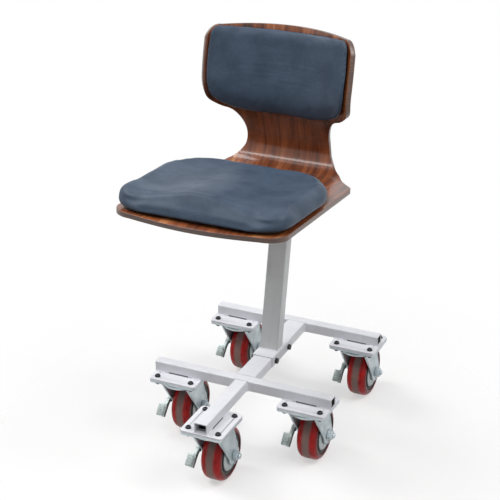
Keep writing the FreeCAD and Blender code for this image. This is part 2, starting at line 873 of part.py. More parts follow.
BEND = math.radians(90 + size("neck_lean"))
BEND_OUTER = size("bend_radius") + size("shell_thick")
BEND_END = FreeCAD.Vector(0, size("pan_length") + BEND_OUTER * math.sin(BEND),
                          BEND_OUTER * (1 - math.cos(BEND)))
LUMBAR_TURN = math.radians(size("neck_lean") + size("back_lean") - size("pan_tilt"))
LUMBAR_RUN = size("lumbar_radius") * LUMBAR_TURN

# The back's sections are cut at these shares of its run, and its hollow is full from this share up.
SECTION_SHARES = [0, 0.08, 0.16, 0.24, 0.32, 0.4, 0.5, 0.65, 0.8, 1.0, 1.15]
FULL_HOLLOW_SHARE = 0.5


def heading(lean):
    """Direction up the back at a lean from upright, in radians, forwards being negative."""
    return FreeCAD.Vector(0, math.sin(lean), math.cos(lean))


def back_lean_at(run):
    """Lean of the rear face at a distance up it."""
    turn = min(max(run - size("neck_rise"), 0) / size("lumbar_radius"), LUMBAR_TURN)
    return turn - math.radians(size("neck_lean"))


def back_point(x, run, off):
    """A point of the back: across, up its rear face and forwards from that face."""
    start, lean = -math.radians(size("neck_lean")), back_lean_at(run)
    neck = min(run, size("neck_rise"))
    upper = max(run - size("neck_rise") - LUMBAR_RUN, 0)
    round_y = size("lumbar_radius") * (math.cos(start) - math.cos(lean))
    round_z = size("lumbar_radius") * (math.sin(lean) - math.sin(start))
    middle = BEND_END + heading(start) * neck + FreeCAD.Vector(0, round_y, round_z) + heading(lean) * upper
    return middle + FreeCAD.Vector(x, -off * math.cos(lean), off * math.sin(lean))


def hollow_at(run):
    """Depth of the hollow across the back at a distance up it, growing in a smooth step."""
    share = min(run / (size("back_run") * FULL_HOLLOW_SHARE), 1)
    return size("back_hollow") * share ** 2 * (3 - 2 * share)


def hollow_lift(x, run):
    """How far the hollow brings the back forwards at a place across it."""
    depth = hollow_at(run)
    if depth == 0:
        return 0
    half = size("back_width") / 2
    radius = (half ** 2 + depth ** 2) / (2 * depth)
    return radius - math.sqrt(radius ** 2 - x ** 2)


def back_curve(half, run, off):
    """A line across the back from left to right, as an arc where the back is hollow there."""
    ends = [back_point(x, run, off + hollow_lift(x, run)) for x in (-half, half)]
    if hollow_at(run) == 0:
        return Part.LineSegment(*ends)
    return Part.Arc(ends[0], back_point(0, run, off), ends[1])


def back_section(half, run):
    """Closed outline of the plywood across the back."""
    thick = size("shell_thick")
    rear = back_curve(half, run, 0).toShape()
    front = back_curve(half, run, thick).toShape()
    left = Part.makeLine(rear.firstVertex().Point, front.firstVertex().Point)
    right = Part.makeLine(rear.lastVertex().Point, front.lastVertex().Point)
    return Part.Wire([rear, right, front, left])


def face_of(curves):
    """The flat face inside a closed chain of curves."""
    return Part.Face(Part.Wire([curve.toShape() for curve in curves]))


def mirrored(points):
    """The same points at the other side of the stool's middle, in reverse order."""
    return [FreeCAD.Vector(-point.x, point.y, point.z) for point in reversed(points)]


def both_sides(right, bridge):
    """Curves of the right edge, the bridge across, and the left edge back again."""
    curves = [piece_of(points) for points in right]
    curves.append(piece_of(bridge))
    curves += [piece_of(mirrored(points)) for points in reversed(right)]
    return curves


def piece_of(points):
    """A straight line through two points, or an arc through three."""
    return Part.LineSegment(*points) if len(points) == 2 else Part.Arc(*points)


# The pan's flare from its rear corner in to the neck: shares of half its rear width, and of the
# way from the rear corner to the bend's rearmost face.
FLARE_SHARES = [(1.0, 0), (0.79, 0.45), (0.62, 0.96)]


def pan_outline():
    """Flat face of the pan's outline, open behind: bowed front, rounded corners and the flare."""
    front, rear = size("pan_front_width") / 2, size("pan_rear_width") / 2
    bow, corner, setback = size("pan_front_bow"), size("pan_front_corner"), size("pan_corner_setback")
    lag = corner * (1 - math.sqrt(1 / 2))
    tail = size("pan_length") + BEND_OUTER - setback

    def flat(x, y):
        return FreeCAD.Vector(x, y, -size("lip_radius"))

    flare = [flat(wide * rear, setback + along * tail) for wide, along in FLARE_SHARES]
    end = flat(flare[-1].x, flare[-1].y + size("back_run"))
    right = [
        [flat(front - corner, bow), flat(front - lag, bow + lag), flat(front, bow + corner)],
        [flat(front, bow + corner), flare[0]],
        flare,
        [flare[-1], end],
    ]
    edge = both_sides(right, [end, flat(-end.x, end.y)])
    return face_of(edge + [Part.Arc(flat(corner - front, bow), flat(0, 0), flat(front - corner, bow))])


# The shell's right edge seen square on, from above the pan up to the back's top: shares of half the
# back's width, and of the shell's height. Each arc runs through its middle point.
EDGE_SHARES = [
    [(0.88, 0.045), (0.7, 0.085), (0.605, 0.15)],
    [(0.605, 0.15), (0.584, 0.215), (0.588, 0.28)],
    [(0.588, 0.28), (0.64, 0.362), (0.79, 0.425)],
    [(0.79, 0.425), (0.866, 0.4455), (0.925, 0.47)],
    [(0.925, 0.47), (0.963, 0.4973), (0.979, 0.53)],
    [(0.979, 0.53), (0.993, 0.715), (0.99, 0.9)],
    [(0.99, 0.9), (0.9417, 0.9563), (0.833, 0.9825)],
]


def back_outline():
    """Upright face of the back's outline, open below the level of the pan's top."""
    half, tall = size("back_width") / 2, size("shell_height")
    edge = [[FreeCAD.Vector(x * half, 0, z * tall) for x, z in arc] for arc in EDGE_SHARES]
    first, last = edge[0][0], edge[-1][-1]
    wide, low = half + 2 * BEND_OUTER, -BEND_OUTER
    foot, ledge = FreeCAD.Vector(wide, 0, low), FreeCAD.Vector(wide, 0, first.z)
    right = [[foot, ledge], [ledge, first]] + edge
    top = [last, FreeCAD.Vector(0, 0, tall), FreeCAD.Vector(-last.x, 0, last.z)]
    return face_of(both_sides(right, top) + [Part.LineSegment(FreeCAD.Vector(-wide, 0, low), foot)])


def blank_edge(half, y):
    """Upright face across the flat blank at a distance from its front edge."""
    corners = [FreeCAD.Vector(x, y, z) for x, z in
               ((-half, 0), (half, 0), (half, size("shell_thick")), (-half, size("shell_thick")))]
    return Part.Face(Part.makePolygon(corners + corners[:1]))


def seat_shell():
    """The plywood blank, bent and pressed, trimmed to its outline and drilled for the seat bolts."""
    thick, length = size("shell_thick"), size("pan_length")
    half = size("pan_rear_width") / 2 + thick
    lip_turn = math.radians(size("lip_turn"))
    lip = (size("lip_radius") + thick) * math.sin(lip_turn)
    pan = Part.makeBox(2 * half, length - lip, thick, FreeCAD.Vector(-half, lip, 0))
    front_lip = blank_edge(half, lip).revolve(
        FreeCAD.Vector(0, lip, -size("lip_radius")), FreeCAD.Vector(1, 0, 0), size("lip_turn"))
    bend = blank_edge(half, length).revolve(
        FreeCAD.Vector(0, length, BEND_OUTER), FreeCAD.Vector(1, 0, 0), math.degrees(BEND))
    back_half = size("back_width") / 2 + thick
    sections = [back_section(back_half, share * size("back_run")) for share in SECTION_SHARES]
    back = Part.makeLoft(sections, True, False)
    blank = pan.fuse([front_lip, bend, back])
    by_pan = pan_outline().extrude(FreeCAD.Vector(0, 0, 2 * size("shell_height")))
    by_back = back_outline().extrude(FreeCAD.Vector(0, 2 * length, 0))
    shape = blank.common(by_pan).common(by_back)
    for setback in ("front_strap_setback", "rear_strap_setback"):
        for side in (-1, 1):
            shape = shape.cut(seat_bolt_space(side * size("seat_bolt_span") / 2, size(setback)))
    item = doc.addObject("Part::Feature", "seat_shell")
    item.Shape = shape.removeSplitter().Solids[0]
    on_pan(item)
    keep(item, "seat_shell")


def seat_bolt_space(x, y):
    """Countersunk hole for one seat bolt."""
    over = size("overrun")
    radius = size("bolt_diameter") / 2
    wide = size("seat_bolt_head_diameter") / 2
    deep = size("seat_bolt_head_thick")
    thick = size("shell_thick")
    hole = Part.makeCylinder(radius + size("bolt_hole_gap"), thick + 2 * over, FreeCAD.Vector(x, y, -over))
    sink = Part.makeCone(radius, wide, deep, FreeCAD.Vector(x, y, thick - deep))
    return hole.fuse(sink)


seat_shell()


# Pads

def cushion_board():
    """Board under the cushion's foam."""
    body = new_body("cushion_board")
    outline = sketch_on(body, "XY_Plane")
    length = "cushion_length - 2 * board_inset"
    rectangle(outline, "cushion_width - 4 * board_inset", length)
    slab = pad(body, outline, "board_thick", "One side")
    round_edges(body, slab, "board_corner", lambda edge: runs_along(edge, 2))
    on_pan(body, "0", "cushion_lead + cushion_length / 2", "shell_thick")
    keep(body, "cushion_board")


# Stations of the cushion from front to rear: shares of its length, half width and height, then the
# heights of the thigh hollows and of the middle as shares of the height at that station.
CUSHION_SHARES = [
    (0.0, 0.66, 0.5, 0.98, 1.05),
    (0.035, 0.86, 0.8, 0.96, 1.1),
    (0.085, 0.96, 0.99, 0.93, 1.15),
    (0.22, 1.0, 1.0, 0.86, 1.14),
    (0.42, 1.0, 1.0, 0.78, 0.98),
    (0.51, 1.0, 1.0, 0.75, 0.88),
    (0.62, 1.005, 1.0, 0.72, 0.8),
    (0.72, 0.98, 1.0, 0.73, 0.77),
    (0.8, 0.905, 1.0, 0.77, 0.79),
    (0.87, 0.8, 1.0, 0.84, 0.85),
    (0.92, 0.68, 0.99, 0.92, 0.93),
    (0.96, 0.53, 0.91, 0.97, 0.98),
    (0.985, 0.38, 0.73, 0.975, 0.99),
    (1.0, 0.25, 0.5, 0.98, 0.99),
]

# Points of a cushion section at its right: shares of the half width and of the height, from the
# drawn-in foot over the bulging side and the shoulder to the thigh hollow and the middle ridge.
FOOT_SHARE = 0.91
SIDE_SHARES = (1.0, 0.5)
SHOULDER_FOOT_SHARES = (0.985, 0.81)
SHOULDER_SHARES = (0.948, 0.957)
SHOULDER_TOP_SHARES = (0.87, 0.995)
HOLLOW_SHARE = 0.46
RIDGE_FOOT_SHARE = 0.17


def cushion_section(y, half, tall, hollow, ridge):
    """Closed outline across the cushion at one station."""
    def at(x, z):
        return FreeCAD.Vector(x * half, y, z * tall)

    ridge_foot = ridge - (ridge - hollow) * RIDGE_FOOT_SHARE
    right = [
        [(FOOT_SHARE, 0), SIDE_SHARES, SHOULDER_FOOT_SHARES],
        [SHOULDER_FOOT_SHARES, SHOULDER_SHARES, SHOULDER_TOP_SHARES],
        [SHOULDER_TOP_SHARES, (HOLLOW_SHARE, hollow), (RIDGE_FOOT_SHARE, ridge_foot)],
    ]
    curves = [Part.LineSegment(at(-FOOT_SHARE, 0), at(FOOT_SHARE, 0))]
    curves += [Part.Arc(*[at(*point) for point in arc]) for arc in right]
    curves.append(Part.Arc(at(RIDGE_FOOT_SHARE, ridge_foot), at(0, ridge), at(-RIDGE_FOOT_SHARE, ridge_foot)))
    curves += [Part.Arc(*[at(-x, z) for x, z in reversed(arc)]) for arc in reversed(right)]
    return Part.Wire([curve.toShape() for curve in curves])


def seat_cushion():
    """Moulded cushion: drawn in at its foot, dished for the thighs, with a ridge between them."""
    half, tall = size("cushion_width") / 2, size("cushion_height")
    sections = []
    for along, wide, high, hollow, ridge in CUSHION_SHARES:
        y = size("cushion_lead") + along * size("cushion_length")
        sections.append(cushion_section(y, wide * half, high * tall, hollow, ridge))
    item = doc.addObject("Part::Feature", "seat_cushion")
    item.Shape = Part.makeLoft(sections, True, False)
    on_pan(item, "0", "0", "shell_thick + board_thick")
    keep(item, "seat_cushion")


# Stations of the back pad from its foot up: shares of its length, half width and thickness.
BACK_PAD_SHARES = [
    (0.0, 0.4, 0.5),
    (0.03, 0.58, 0.78),
    (0.08, 0.75, 0.95),
    (0.15, 0.895, 1.0),
    (0.23, 0.97, 1.0),
    (0.34, 0.995, 1.0),
    (0.52, 1.005, 1.0),
    (0.7, 1.005, 1.0),
    (0.86, 0.995, 1.0),
    (0.95, 0.97, 0.95),
    (0.985, 0.935, 0.78),
    (1.0, 0.885, 0.5),
]
PAD_EDGE_SHARE = 0.3


def pad_section(half, run, off, thick):
    """Closed outline across a pad on the back, with bulging edges."""
    rear = back_curve(half, run, off)
    front = back_curve(half, run, off + thick)
    lift = hollow_lift(half, run)
    out = half + thick * PAD_EDGE_SHARE
    edges = []
    for side in (-1, 1):
        edges.append(Part.Arc(back_point(side * half, run, off + lift),
                              back_point(side * out, run, off + lift + thick / 2),
                              back_point(side * half, run, off + lift + thick)))
    return Part.Wire([curve.toShape() for curve in (rear, edges[1], front, edges[0])])


def curved_pad(name, inset, off, thick):
    """A layer on the front of the back that follows its hollow, set in from the pad's outline."""
    sections = []
    foot, length = size("back_pad_foot") + inset, size("back_pad_length") - 2 * inset
    for along, wide, deep in BACK_PAD_SHARES:
        half = wide * (size("back_pad_width") / 2 - inset)
        sections.append(pad_section(half, foot + along * length, off, thick * deep))
    item = doc.addObject("Part::Feature", name)
    item.Shape = Part.makeLoft(sections, True, False)
    on_pan(item)
    keep(item, name)


def back_pad():
    """Thin pad and its board on the front of the back."""
    board_off = size("shell_thick") + size("back_board_gap")
    board = size("back_board_thick")
    curved_pad("back_pad_board", size("back_board_inset"), board_off, board)
    curved_pad("back_pad", 0, board_off + board + size("pad_gap"), size("back_pad_thick"))


seat_cushion()
cushion_board()
back_pad()

doc.recompute()

# Nothing is written unless every object and every sub-part is sound.
for item in doc.Objects:
    if "Invalid" in item.State or "Error" in item.State:
        raise RuntimeError("%s failed: %s" % (item.Label, item.State))
for item in sub_parts:
    if item.Shape.isNull() or not item.Shape.isValid():
        raise RuntimeError("%s has no sound shape" % item.Label)

os.makedirs("parts", exist_ok=True)
for item in sub_parts:
    item.Shape.exportStep("parts/%s.step" % item.Label)
print("%d sub-parts" % len(sub_parts))
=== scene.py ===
import bmesh
import bpy
import math
import numpy as np
from mathutils import Matrix, Vector, noise


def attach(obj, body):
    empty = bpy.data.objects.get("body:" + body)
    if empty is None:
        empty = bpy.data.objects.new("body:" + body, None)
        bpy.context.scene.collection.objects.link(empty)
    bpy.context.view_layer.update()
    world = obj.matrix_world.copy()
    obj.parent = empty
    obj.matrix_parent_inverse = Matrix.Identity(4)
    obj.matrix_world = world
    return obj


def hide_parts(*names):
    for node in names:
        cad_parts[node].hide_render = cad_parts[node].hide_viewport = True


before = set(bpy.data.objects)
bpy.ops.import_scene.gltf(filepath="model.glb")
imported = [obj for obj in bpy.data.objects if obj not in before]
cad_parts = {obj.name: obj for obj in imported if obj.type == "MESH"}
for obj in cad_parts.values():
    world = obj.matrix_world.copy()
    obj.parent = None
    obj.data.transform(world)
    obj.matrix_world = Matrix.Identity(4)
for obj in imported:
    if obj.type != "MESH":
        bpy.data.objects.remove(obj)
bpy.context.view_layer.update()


# Base tubes: a wide spine, a narrower nose tube and two square cross-tubes of thin-walled steel, cut
# square, welded to each other and sprayed off-white with a satin powder coat. The plates for the
# casters and the saddle of the column have the same coat.

MM = 0.001
FRONT_CROSS_Y, REAR_CROSS_Y = -85.25, 235.75
CASTERS = {
    "nose": (0, -252.25),
    "front_left": (-158, FRONT_CROSS_Y),
    "front_right": (158, FRONT_CROSS_Y),
    "rear_left": (-157, REAR_CROSS_Y),
    "rear_right": (157, REAR_CROSS_Y),
}


class Flow:
    """One socket of a finish, so that shader maths reads as plain arithmetic."""

    def __init__(self, finish, socket):
        self.finish = finish
        self.socket = socket

    def maths(self, operation, *values):
        return self.finish.node("ShaderNodeMath", {"operation": operation}, dict(enumerate(values)))

    def __add__(self, other):
        return self.maths("ADD", self, other)

    def __sub__(self, other):
        return self.maths("SUBTRACT", self, other)

    def __rsub__(self, other):
        return self.maths("SUBTRACT", other, self)

    def __mul__(self, other):
        return self.maths("MULTIPLY", self, other)

    __radd__ = __add__
    __rmul__ = __mul__

    def rise(self, low, high):
        """Nothing below low and one above high, with a soft step between."""
        return self.finish.node("ShaderNodeMapRange", {"interpolation_type": "SMOOTHSTEP"},
                                {"Value": self, "From Min": low, "From Max": high})


class Finish:
    """A material with its main shader, to which the nodes of one finish are added."""

    def __init__(self, name, **constants):
        self.material = bpy.data.materials.new(name)
        self.material.use_nodes = True
        self.tree = self.material.node_tree
        self.shader = self.tree.nodes["Principled BSDF"]
        for socket, value in constants.items():
            self.feed(socket.replace("_", " "), value)

    def node(self, kind, settings, sockets, output=0):
        """Any node: its settings first, then the values or links of its sockets."""
        made = self.tree.nodes.new(kind)
        for name, value in settings.items():
            if name == "stops":
                self.set_stops(made.color_ramp, value)
            else:
                setattr(made, name, value)
        for name, value in sockets.items():
            self.join(made.inputs[name], value)
        return Flow(self, made.outputs[output])

    def set_stops(self, ramp, stops):
        while len(ramp.elements) < len(stops):
            ramp.elements.new(1)
        for element, (place, colour) in zip(ramp.elements, stops):
            element.position = place
            element.color = (*colour, 1)

    def join(self, socket, value):
        if isinstance(value, Flow):
            self.tree.links.new(value.socket, socket)
        elif socket.type == "RGBA" and len(value) == 3:
            socket.default_value = (*value, 1)
        else:
            socket.default_value = value

    def feed(self, socket, value):
        """Sets or links one socket of the main shader."""
        self.join(self.shader.inputs[socket], value)

    def place(self, scale=(1, 1, 1)):
        """Coordinates on the piece, stretched where asked."""
        source = self.node("ShaderNodeTexCoord", {}, {}, "Object")
        return self.node("ShaderNodeMapping", {}, {"Vector": source, "Scale": scale})

    def noise(self, where, scale, detail=4, rough=0.55, distort=0):
        return self.node("ShaderNodeTexNoise", {}, {
            "Vector": where, "Scale": scale, "Detail": detail, "Roughness": rough,
            "Distortion": distort})

    def mix(self, share, first, second):
        """A colour between two colours."""
        sockets = {0: share, 6: first, 7: second}
        return self.node("ShaderNodeMix", {"data_type": "RGBA"}, sockets, 2)

    def bump(self, height, strength, distance):
        sockets = {"Height": height, "Strength": strength, "Distance": distance}
        self.feed("Normal", self.node("ShaderNodeBump", {}, sockets))


def powder_coat(name, colour, soiled):
    """Satin powder coat with a fine orange peel and faint handling marks."""
    coat = Finish(name)
    where = coat.place()
    marks = coat.noise(where, 9, 6, 0.62).rise(0.42, 0.72)
    streaks = coat.noise(coat.place((60, 60, 6)), 1, 3).rise(0.5, 0.8)
    coat.feed("Base Color", coat.mix(marks * 0.45 + streaks * 0.3, colour, soiled))
    coat.feed("Roughness", 0.36 + marks * 0.16)
    coat.bump(coat.noise(where, 900, 2), 0.06, 0.2 * MM)
    return coat


def soft_edges(piece, width, segments, angle):
    """Rounds those edges of a piece that are sharper than an angle."""
    soft = piece.modifiers.new("soft edges", "BEVEL")
    soft.width = width
    soft.segments = segments
    soft.limit_method = "ANGLE"
    soft.angle_limit = math.radians(angle)
    return soft


def dress(finish, nodes, edge=0.0):
    """Gives CAD nodes a finish and, where asked, softly broken edges."""
    for name in nodes:
        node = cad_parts[name]
        for slot in node.material_slots:
            slot.material = finish.material
        if edge:
            weld = node.modifiers.new("weld", "WELD")
            weld.merge_threshold = 0.01 * MM
            soft_edges(node, edge, segments=2, angle=40).harden_normals = True


off_white = powder_coat("off_white_coat", (0.76, 0.77, 0.815), (0.62, 0.625, 0.65))
dress(off_white, ["front_cross_tube", "rear_cross_tube", "spine_tube", "nose_tube"])
dress(off_white, ["column_saddle"], 0.8 * MM)
dress(off_white, [name + "_mount_plate" for name in CASTERS], 0.6 * MM)


# Insides of the tubes: the nose tube and both cross-tubes are open at their ends, and the coat did
# not reach in. Each inside is a thin sleeve against the tube's inner walls, of bare steel with a
# little rust, darkened nearly to black as painted shade in the open ends.

PLATE_TOP = 165
TUBE_SIDE, TUBE_WALL, NOSE_HALF = 25, 2.5, 15
BORE = TUBE_SIDE - 2 * TUBE_WALL
NOSE_BORE = 2 * (NOSE_HALF - TUBE_WALL)
NOSE_MIDDLE_Y = -205
SLEEVE = 0.4

# Bare steel with a little rust, made near black as painted shade inside the open tubes.
shaded_bare = Finish("bare_steel_painted_shade", Metallic=0.3, Roughness=0.8)
rust = shaded_bare.noise(shaded_bare.place(), 90, 4).rise(0.4, 0.7)
shaded_bare.feed("Base Color", shaded_bare.mix(rust, (0.030, 0.030, 0.032), (0.055, 0.042, 0.034)))


def in_metres(form):
    """A form that was made in millimetres, at the scene's own scale."""
    bmesh.ops.scale(form, vec=(MM, MM, MM), verts=form.verts)
    return form


def finished(name, form, finish, body, crease=35):
    """Makes a piece out of a form, smooth but for its creases, and lets it ride on a body."""
    mesh = bpy.data.meshes.new(name)
    form.to_mesh(mesh)
    form.free()
    mesh.shade_smooth()
    mesh.set_sharp_from_angle(angle=math.radians(crease))
    mesh.materials.append(finish.material)
    piece = bpy.data.objects.new(name, mesh)
    bpy.context.scene.collection.objects.link(piece)
    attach(piece, body)
    return piece


def moved(x=0, y=0, z=0):
    """The matrix of a move."""
    return Matrix.Translation((x, y, z))


def inside_of_tube(name, middle_y, length, wide, turn=0):
    """A sleeve in a tube along X, or along Y once it is turned."""
    form = bmesh.new()
    bmesh.ops.create_cube(form, size=1, matrix=Matrix.Diagonal((length, wide, BORE, 1)))
    ends = [face for face in form.faces if abs(face.normal.x) > 0.5]
    bmesh.ops.delete(form, geom=ends, context="FACES_ONLY")
    bmesh.ops.solidify(form, geom=list(form.faces), thickness=SLEEVE)
    place = moved(0, middle_y, PLATE_TOP + TUBE_SIDE / 2) @ Matrix.Rotation(turn, 4, "Z")
    bmesh.ops.transform(form, matrix=place, verts=form.verts)
    finished(name, in_metres(form), shaded_bare, "stool")


inside_of_tube("front_cross_inside", FRONT_CROSS_Y, length=431, wide=BORE)
inside_of_tube("rear_cross_inside", REAR_CROSS_Y, length=417, wide=BORE)
inside_of_tube("nose_inside", NOSE_MIDDLE_Y, length=168, wide=NOSE_BORE, turn=math.pi / 2)


# Caster top plates and swivels: a pressed plate bolted under each mount plate, with the ball race and
# the kingpin between it and the fork. All of it is steel with bright zinc plating, which dries in
# faint bluish clouds.

def zinc_plating(name, bright, dull):
    """Bright zinc that has dried in faint clouds."""
    plating = Finish(name, Metallic=0.7)
    where = plating.place()
    cloud = plating.noise(where, 35, 5, 0.6)
    fine = plating.noise(where, 420, 2)
    plating.feed("Base Color", plating.mix(cloud.rise(0.35, 0.7), bright, dull))
    plating.feed("Roughness", 0.3 + cloud * 0.16 + fine * 0.08)
    plating.bump(fine, 0.08, 0.15 * MM)
    return plating


zinc = zinc_plating("zinc_plate", (0.56, 0.62, 0.645), (0.40, 0.46, 0.49))
dress(zinc, [name + "_caster_plate" for name in CASTERS], 0.5 * MM)
dress(zinc, ["kingpins", "swivel_balls"])


# Caster bolts: black domed screws with a plain washer through both plates, four to a caster, and a
# nut below each. Their oxide is a little cloudy.

HOLE_SPANS = 84, 71
PLATES_GRIP = 10
HEAD_RADIUS, HEAD_TALL = 6, 4.1
SOCKET_RADIUS, SOCKET_FLOOR, SOCKET_FOOT = 2.4, 3, 2.6
WASHER_RADIUS, WASHER_HOLE, WASHER_THICK = 6.8, 4.2, 1.4
NUT_ACROSS, NUT_TALL, NUT_CHAMFER = 13, 6.5, 0.7
SCREW_RADIUS, SCREW_END, PINHOLE = 4, 3, 0.2
UPRIGHT = Matrix.Rotation(-math.pi / 2, 4, "Y")


def mottled(name, scale, detail, tones, rough, rough_spread=0, metallic=0, grit=0):
    """A finish of two tones that run into each other in small clouds."""
    finish = Finish(name, Metallic=metallic, Roughness=rough)
    cloud = finish.noise(finish.place(), scale, detail)
    finish.feed("Base Color", finish.mix(cloud, *tones))
    if rough_spread:
        finish.feed("Roughness", rough + cloud * rough_spread)
    if grit:
        finish.bump(cloud, 0.2, grit)
    return finish


def outline_face(form, points, rounds, segments):
    """A flat face through points, with some of its corners rounded."""
    verts = [form.verts.new(point) for point in points]
    form.faces.new(verts)
    for index, radius in rounds.items():
        bmesh.ops.bevel(form, geom=[verts[index]], offset=radius, offset_type="OFFSET",
                        segments=segments, profile=0.5, affect="VERTICES", material=-1)
    return list(form.faces)


def turned(outline, rounds, steps, segments=6):
    """A closed outline of places along X and radii, turned once about the X axis."""
    form = bmesh.new()
    faces = outline_face(form, [(x, 0, radius) for x, radius in outline], rounds, segments)
    edges = list(form.edges)
    bmesh.ops.delete(form, geom=faces, context="FACES_ONLY")
    bmesh.ops.spin(form, geom=list(form.verts) + edges, cent=(0, 0, 0), axis=(1, 0, 0),
                   dvec=(0, 0, 0), angle=2 * math.pi, steps=steps, use_merge=True)
    bmesh.ops.remove_doubles(form, verts=form.verts, dist=0.0001)
    bmesh.ops.recalc_face_normals(form, faces=form.faces)
    return form


def ring(start, end, inner, outer, rounds, steps, segments=6):
    """A ring, or a rod with a pinhole, between two places along X."""
    outline = [(start, inner), (start, outer), (end, outer), (end, inner)]
    return turned(outline, rounds, steps, segments)


def hexagon(across, thick, chamfer):
    """A six-sided prism along X from its foot at zero, with broken corners."""
    form = bmesh.new()
    radius = across / math.sqrt(3)
    bmesh.ops.create_cone(form, cap_ends=True, segments=6, radius1=radius, radius2=radius, depth=thick,
                          matrix=moved(thick / 2) @ Matrix.Rotation(math.pi / 2, 4, "Y"))
    bmesh.ops.bevel(form, geom=list(form.edges), offset=chamfer, offset_type="OFFSET", segments=2,
                    profile=0.5, affect="EDGES", material=-1)
    return form


def gathered(*placed):
    """Several forms as one, each moved by its matrix."""
    whole = bmesh.new()
    spare = bpy.data.meshes.new("spare")
    for form, matrix in placed:
        bmesh.ops.transform(form, matrix=matrix, verts=form.verts)
        form.to_mesh(spare)
        whole.from_mesh(spare)
        form.free()
    bpy.data.meshes.remove(spare)
    bmesh.ops.recalc_face_normals(whole, faces=whole.faces)
    return whole


def caster_screw():
    """A screw along X: washer and head stand on zero, nut and thread end hang below the plates."""
    washer = ring(0, WASHER_THICK, WASHER_HOLE, WASHER_RADIUS, {1: 0.5, 2: 0.5}, steps=20, segments=2)
    head_top = WASHER_THICK + HEAD_TALL
    head = turned([(WASHER_THICK, SOCKET_RADIUS), (WASHER_THICK, HEAD_RADIUS), (head_top, HEAD_RADIUS),
                   (head_top, SOCKET_RADIUS), (SOCKET_FLOOR, SOCKET_RADIUS)],
                  {2: HEAD_TALL * 0.8}, steps=20, segments=5)
    socket_floor = ring(SOCKET_FLOOR, SOCKET_FOOT, PINHOLE, SOCKET_RADIUS, {}, steps=12)
    nut = hexagon(NUT_ACROSS, NUT_TALL, NUT_CHAMFER)
    end = ring(0, SCREW_END, 2 * PINHOLE, SCREW_RADIUS, {1: 0.8}, steps=16, segments=1)
    nut_foot = -PLATES_GRIP - NUT_TALL
    return gathered((washer, moved()), (head, moved()), (socket_floor, moved()),
                    (nut, moved(nut_foot)), (end, moved(nut_foot - SCREW_END)))


black = mottled("black_oxide", 160, 3, ((0.012, 0.012, 0.015), (0.04, 0.04, 0.045)),
                rough=0.34, rough_spread=0.2, metallic=0.5)
screws = []
for name, (x, y) in CASTERS.items():
    wide, deep = reversed(HOLE_SPANS) if name == "nose" else HOLE_SPANS
    for across in (-0.5, 0.5):
        for back in (-0.5, 0.5):
            hole = moved(x + across * wide, y + back * deep, PLATE_TOP)
            screws.append((caster_screw(), hole @ UPRIGHT))
bolts = finished("caster_screws", in_metres(gathered(*screws)), black, "stool")
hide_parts("caster_bolts")


# Forks: one steel pressing each, with a round crown under the ball race and two flat legs that rake
# back to the axle, wide at the top and round about the axle. The plating is the plates' own.

AXLE_Y, AXLE_Z = 48, 62.5
LEG_INNER, LEG_OUTER, LEG_EYE = 28, 33, 23
LEG_TOP_FRONT, LEG_TOP_BACK = -34, 42
RIM_WIDE, RIB_WALL, RIB_DEEP = 3.2, 1.6, 1.1
CROWN_TOP, CROWN_FOOT, CROWN_RADIUS, CROWN_HOLE = 148.7, 142.7, 43, 6.05


def plate_of(points, rounds, segments, push):
    """A flat face through points, rounded at some corners and pushed out to a plate."""
    form = bmesh.new()
    faces = outline_face(form, points, rounds, segments)
    grown = bmesh.ops.extrude_face_region(form, geom=faces)["geom"]
    bmesh.ops.translate(form, vec=push,
                        verts=[item for item in grown if isinstance(item, bmesh.types.BMVert)])
    bmesh.ops.recalc_face_normals(form, faces=form.faces)
    return form


def round_rims(form, angle, radius, segments):
    """Rounds those edges of a form that are sharper than an angle."""
    rims = [edge for edge in form.edges if edge.is_manifold and edge.calc_face_angle() > angle]
    bmesh.ops.bevel(form, geom=rims, offset=radius, offset_type="OFFSET", segments=segments,
                    profile=0.5, affect="EDGES", material=-1)


def fork_leg():
    """The left leg: a plate with a pressed rib and rounded rims."""
    top, foot = CROWN_FOOT + 1, AXLE_Z - LEG_EYE
    front, back = AXLE_Y - LEG_EYE, AXLE_Y + LEG_EYE
    line = [(LEG_TOP_FRONT, top), (front, AXLE_Z), (front, foot), (back, foot), (back, AXLE_Z),
            (LEG_TOP_BACK, top)]
    eye = LEG_EYE - 0.1
    form = plate_of([(-LEG_INNER, y, z) for y, z in line], {2: eye, 3: eye}, 10,
                    (LEG_INNER - LEG_OUTER, 0, 0))
    outer = min(form.faces, key=lambda face: face.calc_center_median().x)
    bmesh.ops.inset_region(form, faces=[outer], thickness=RIM_WIDE, depth=0)
    outer = min((face for face in form.faces if len(face.verts) > 8),
                key=lambda face: (round(face.calc_center_median().x, 3), face.calc_area()))
    bmesh.ops.inset_region(form, faces=[outer], thickness=RIB_WALL, depth=-RIB_DEEP)
    round_rims(form, angle=0.6, radius=0.9, segments=3)
    return form


def at_casters(label, form, finish, group, node=None, crease=35):
    """One like piece at every caster, made about the swivel's axis on the floor, in millimetres."""
    for name, (x, y) in CASTERS.items():
        copy = form.copy()
        bmesh.ops.transform(copy, matrix=Matrix.Scale(MM, 4) @ moved(x, y), verts=copy.verts)
        piece = finished(name + label, copy, finish, name + group, crease)
        if node:
            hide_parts(name + node)
    form.free()


crown = ring(CROWN_FOOT, CROWN_TOP, CROWN_HOLE, CROWN_RADIUS, {1: 1.5, 2: 1.2},
             steps=72, segments=4)
left_leg, right_leg = fork_leg(), fork_leg()
bmesh.ops.scale(right_leg, vec=(-1, 1, 1), verts=right_leg.verts)
fork = gathered((crown, UPRIGHT), (left_leg, moved()), (right_leg, moved()))
at_casters("_fork_pressing", fork, zinc, "_swivel", "_fork", crease=30)


# Tyres: red polyurethane cast round the wheel centres, with round shoulders. Use has scuffed them and
# worn a dull grey-brown band round the middle of the tread. Their shoulders are darkened as painted
# shade.

ON_AXLE = moved(0, AXLE_Y, AXLE_Z)
TYRE_HALF, TYRE_RADIUS, TYRE_BORE, TYRE_ROUND = 24, 62.5, 48.5, 12

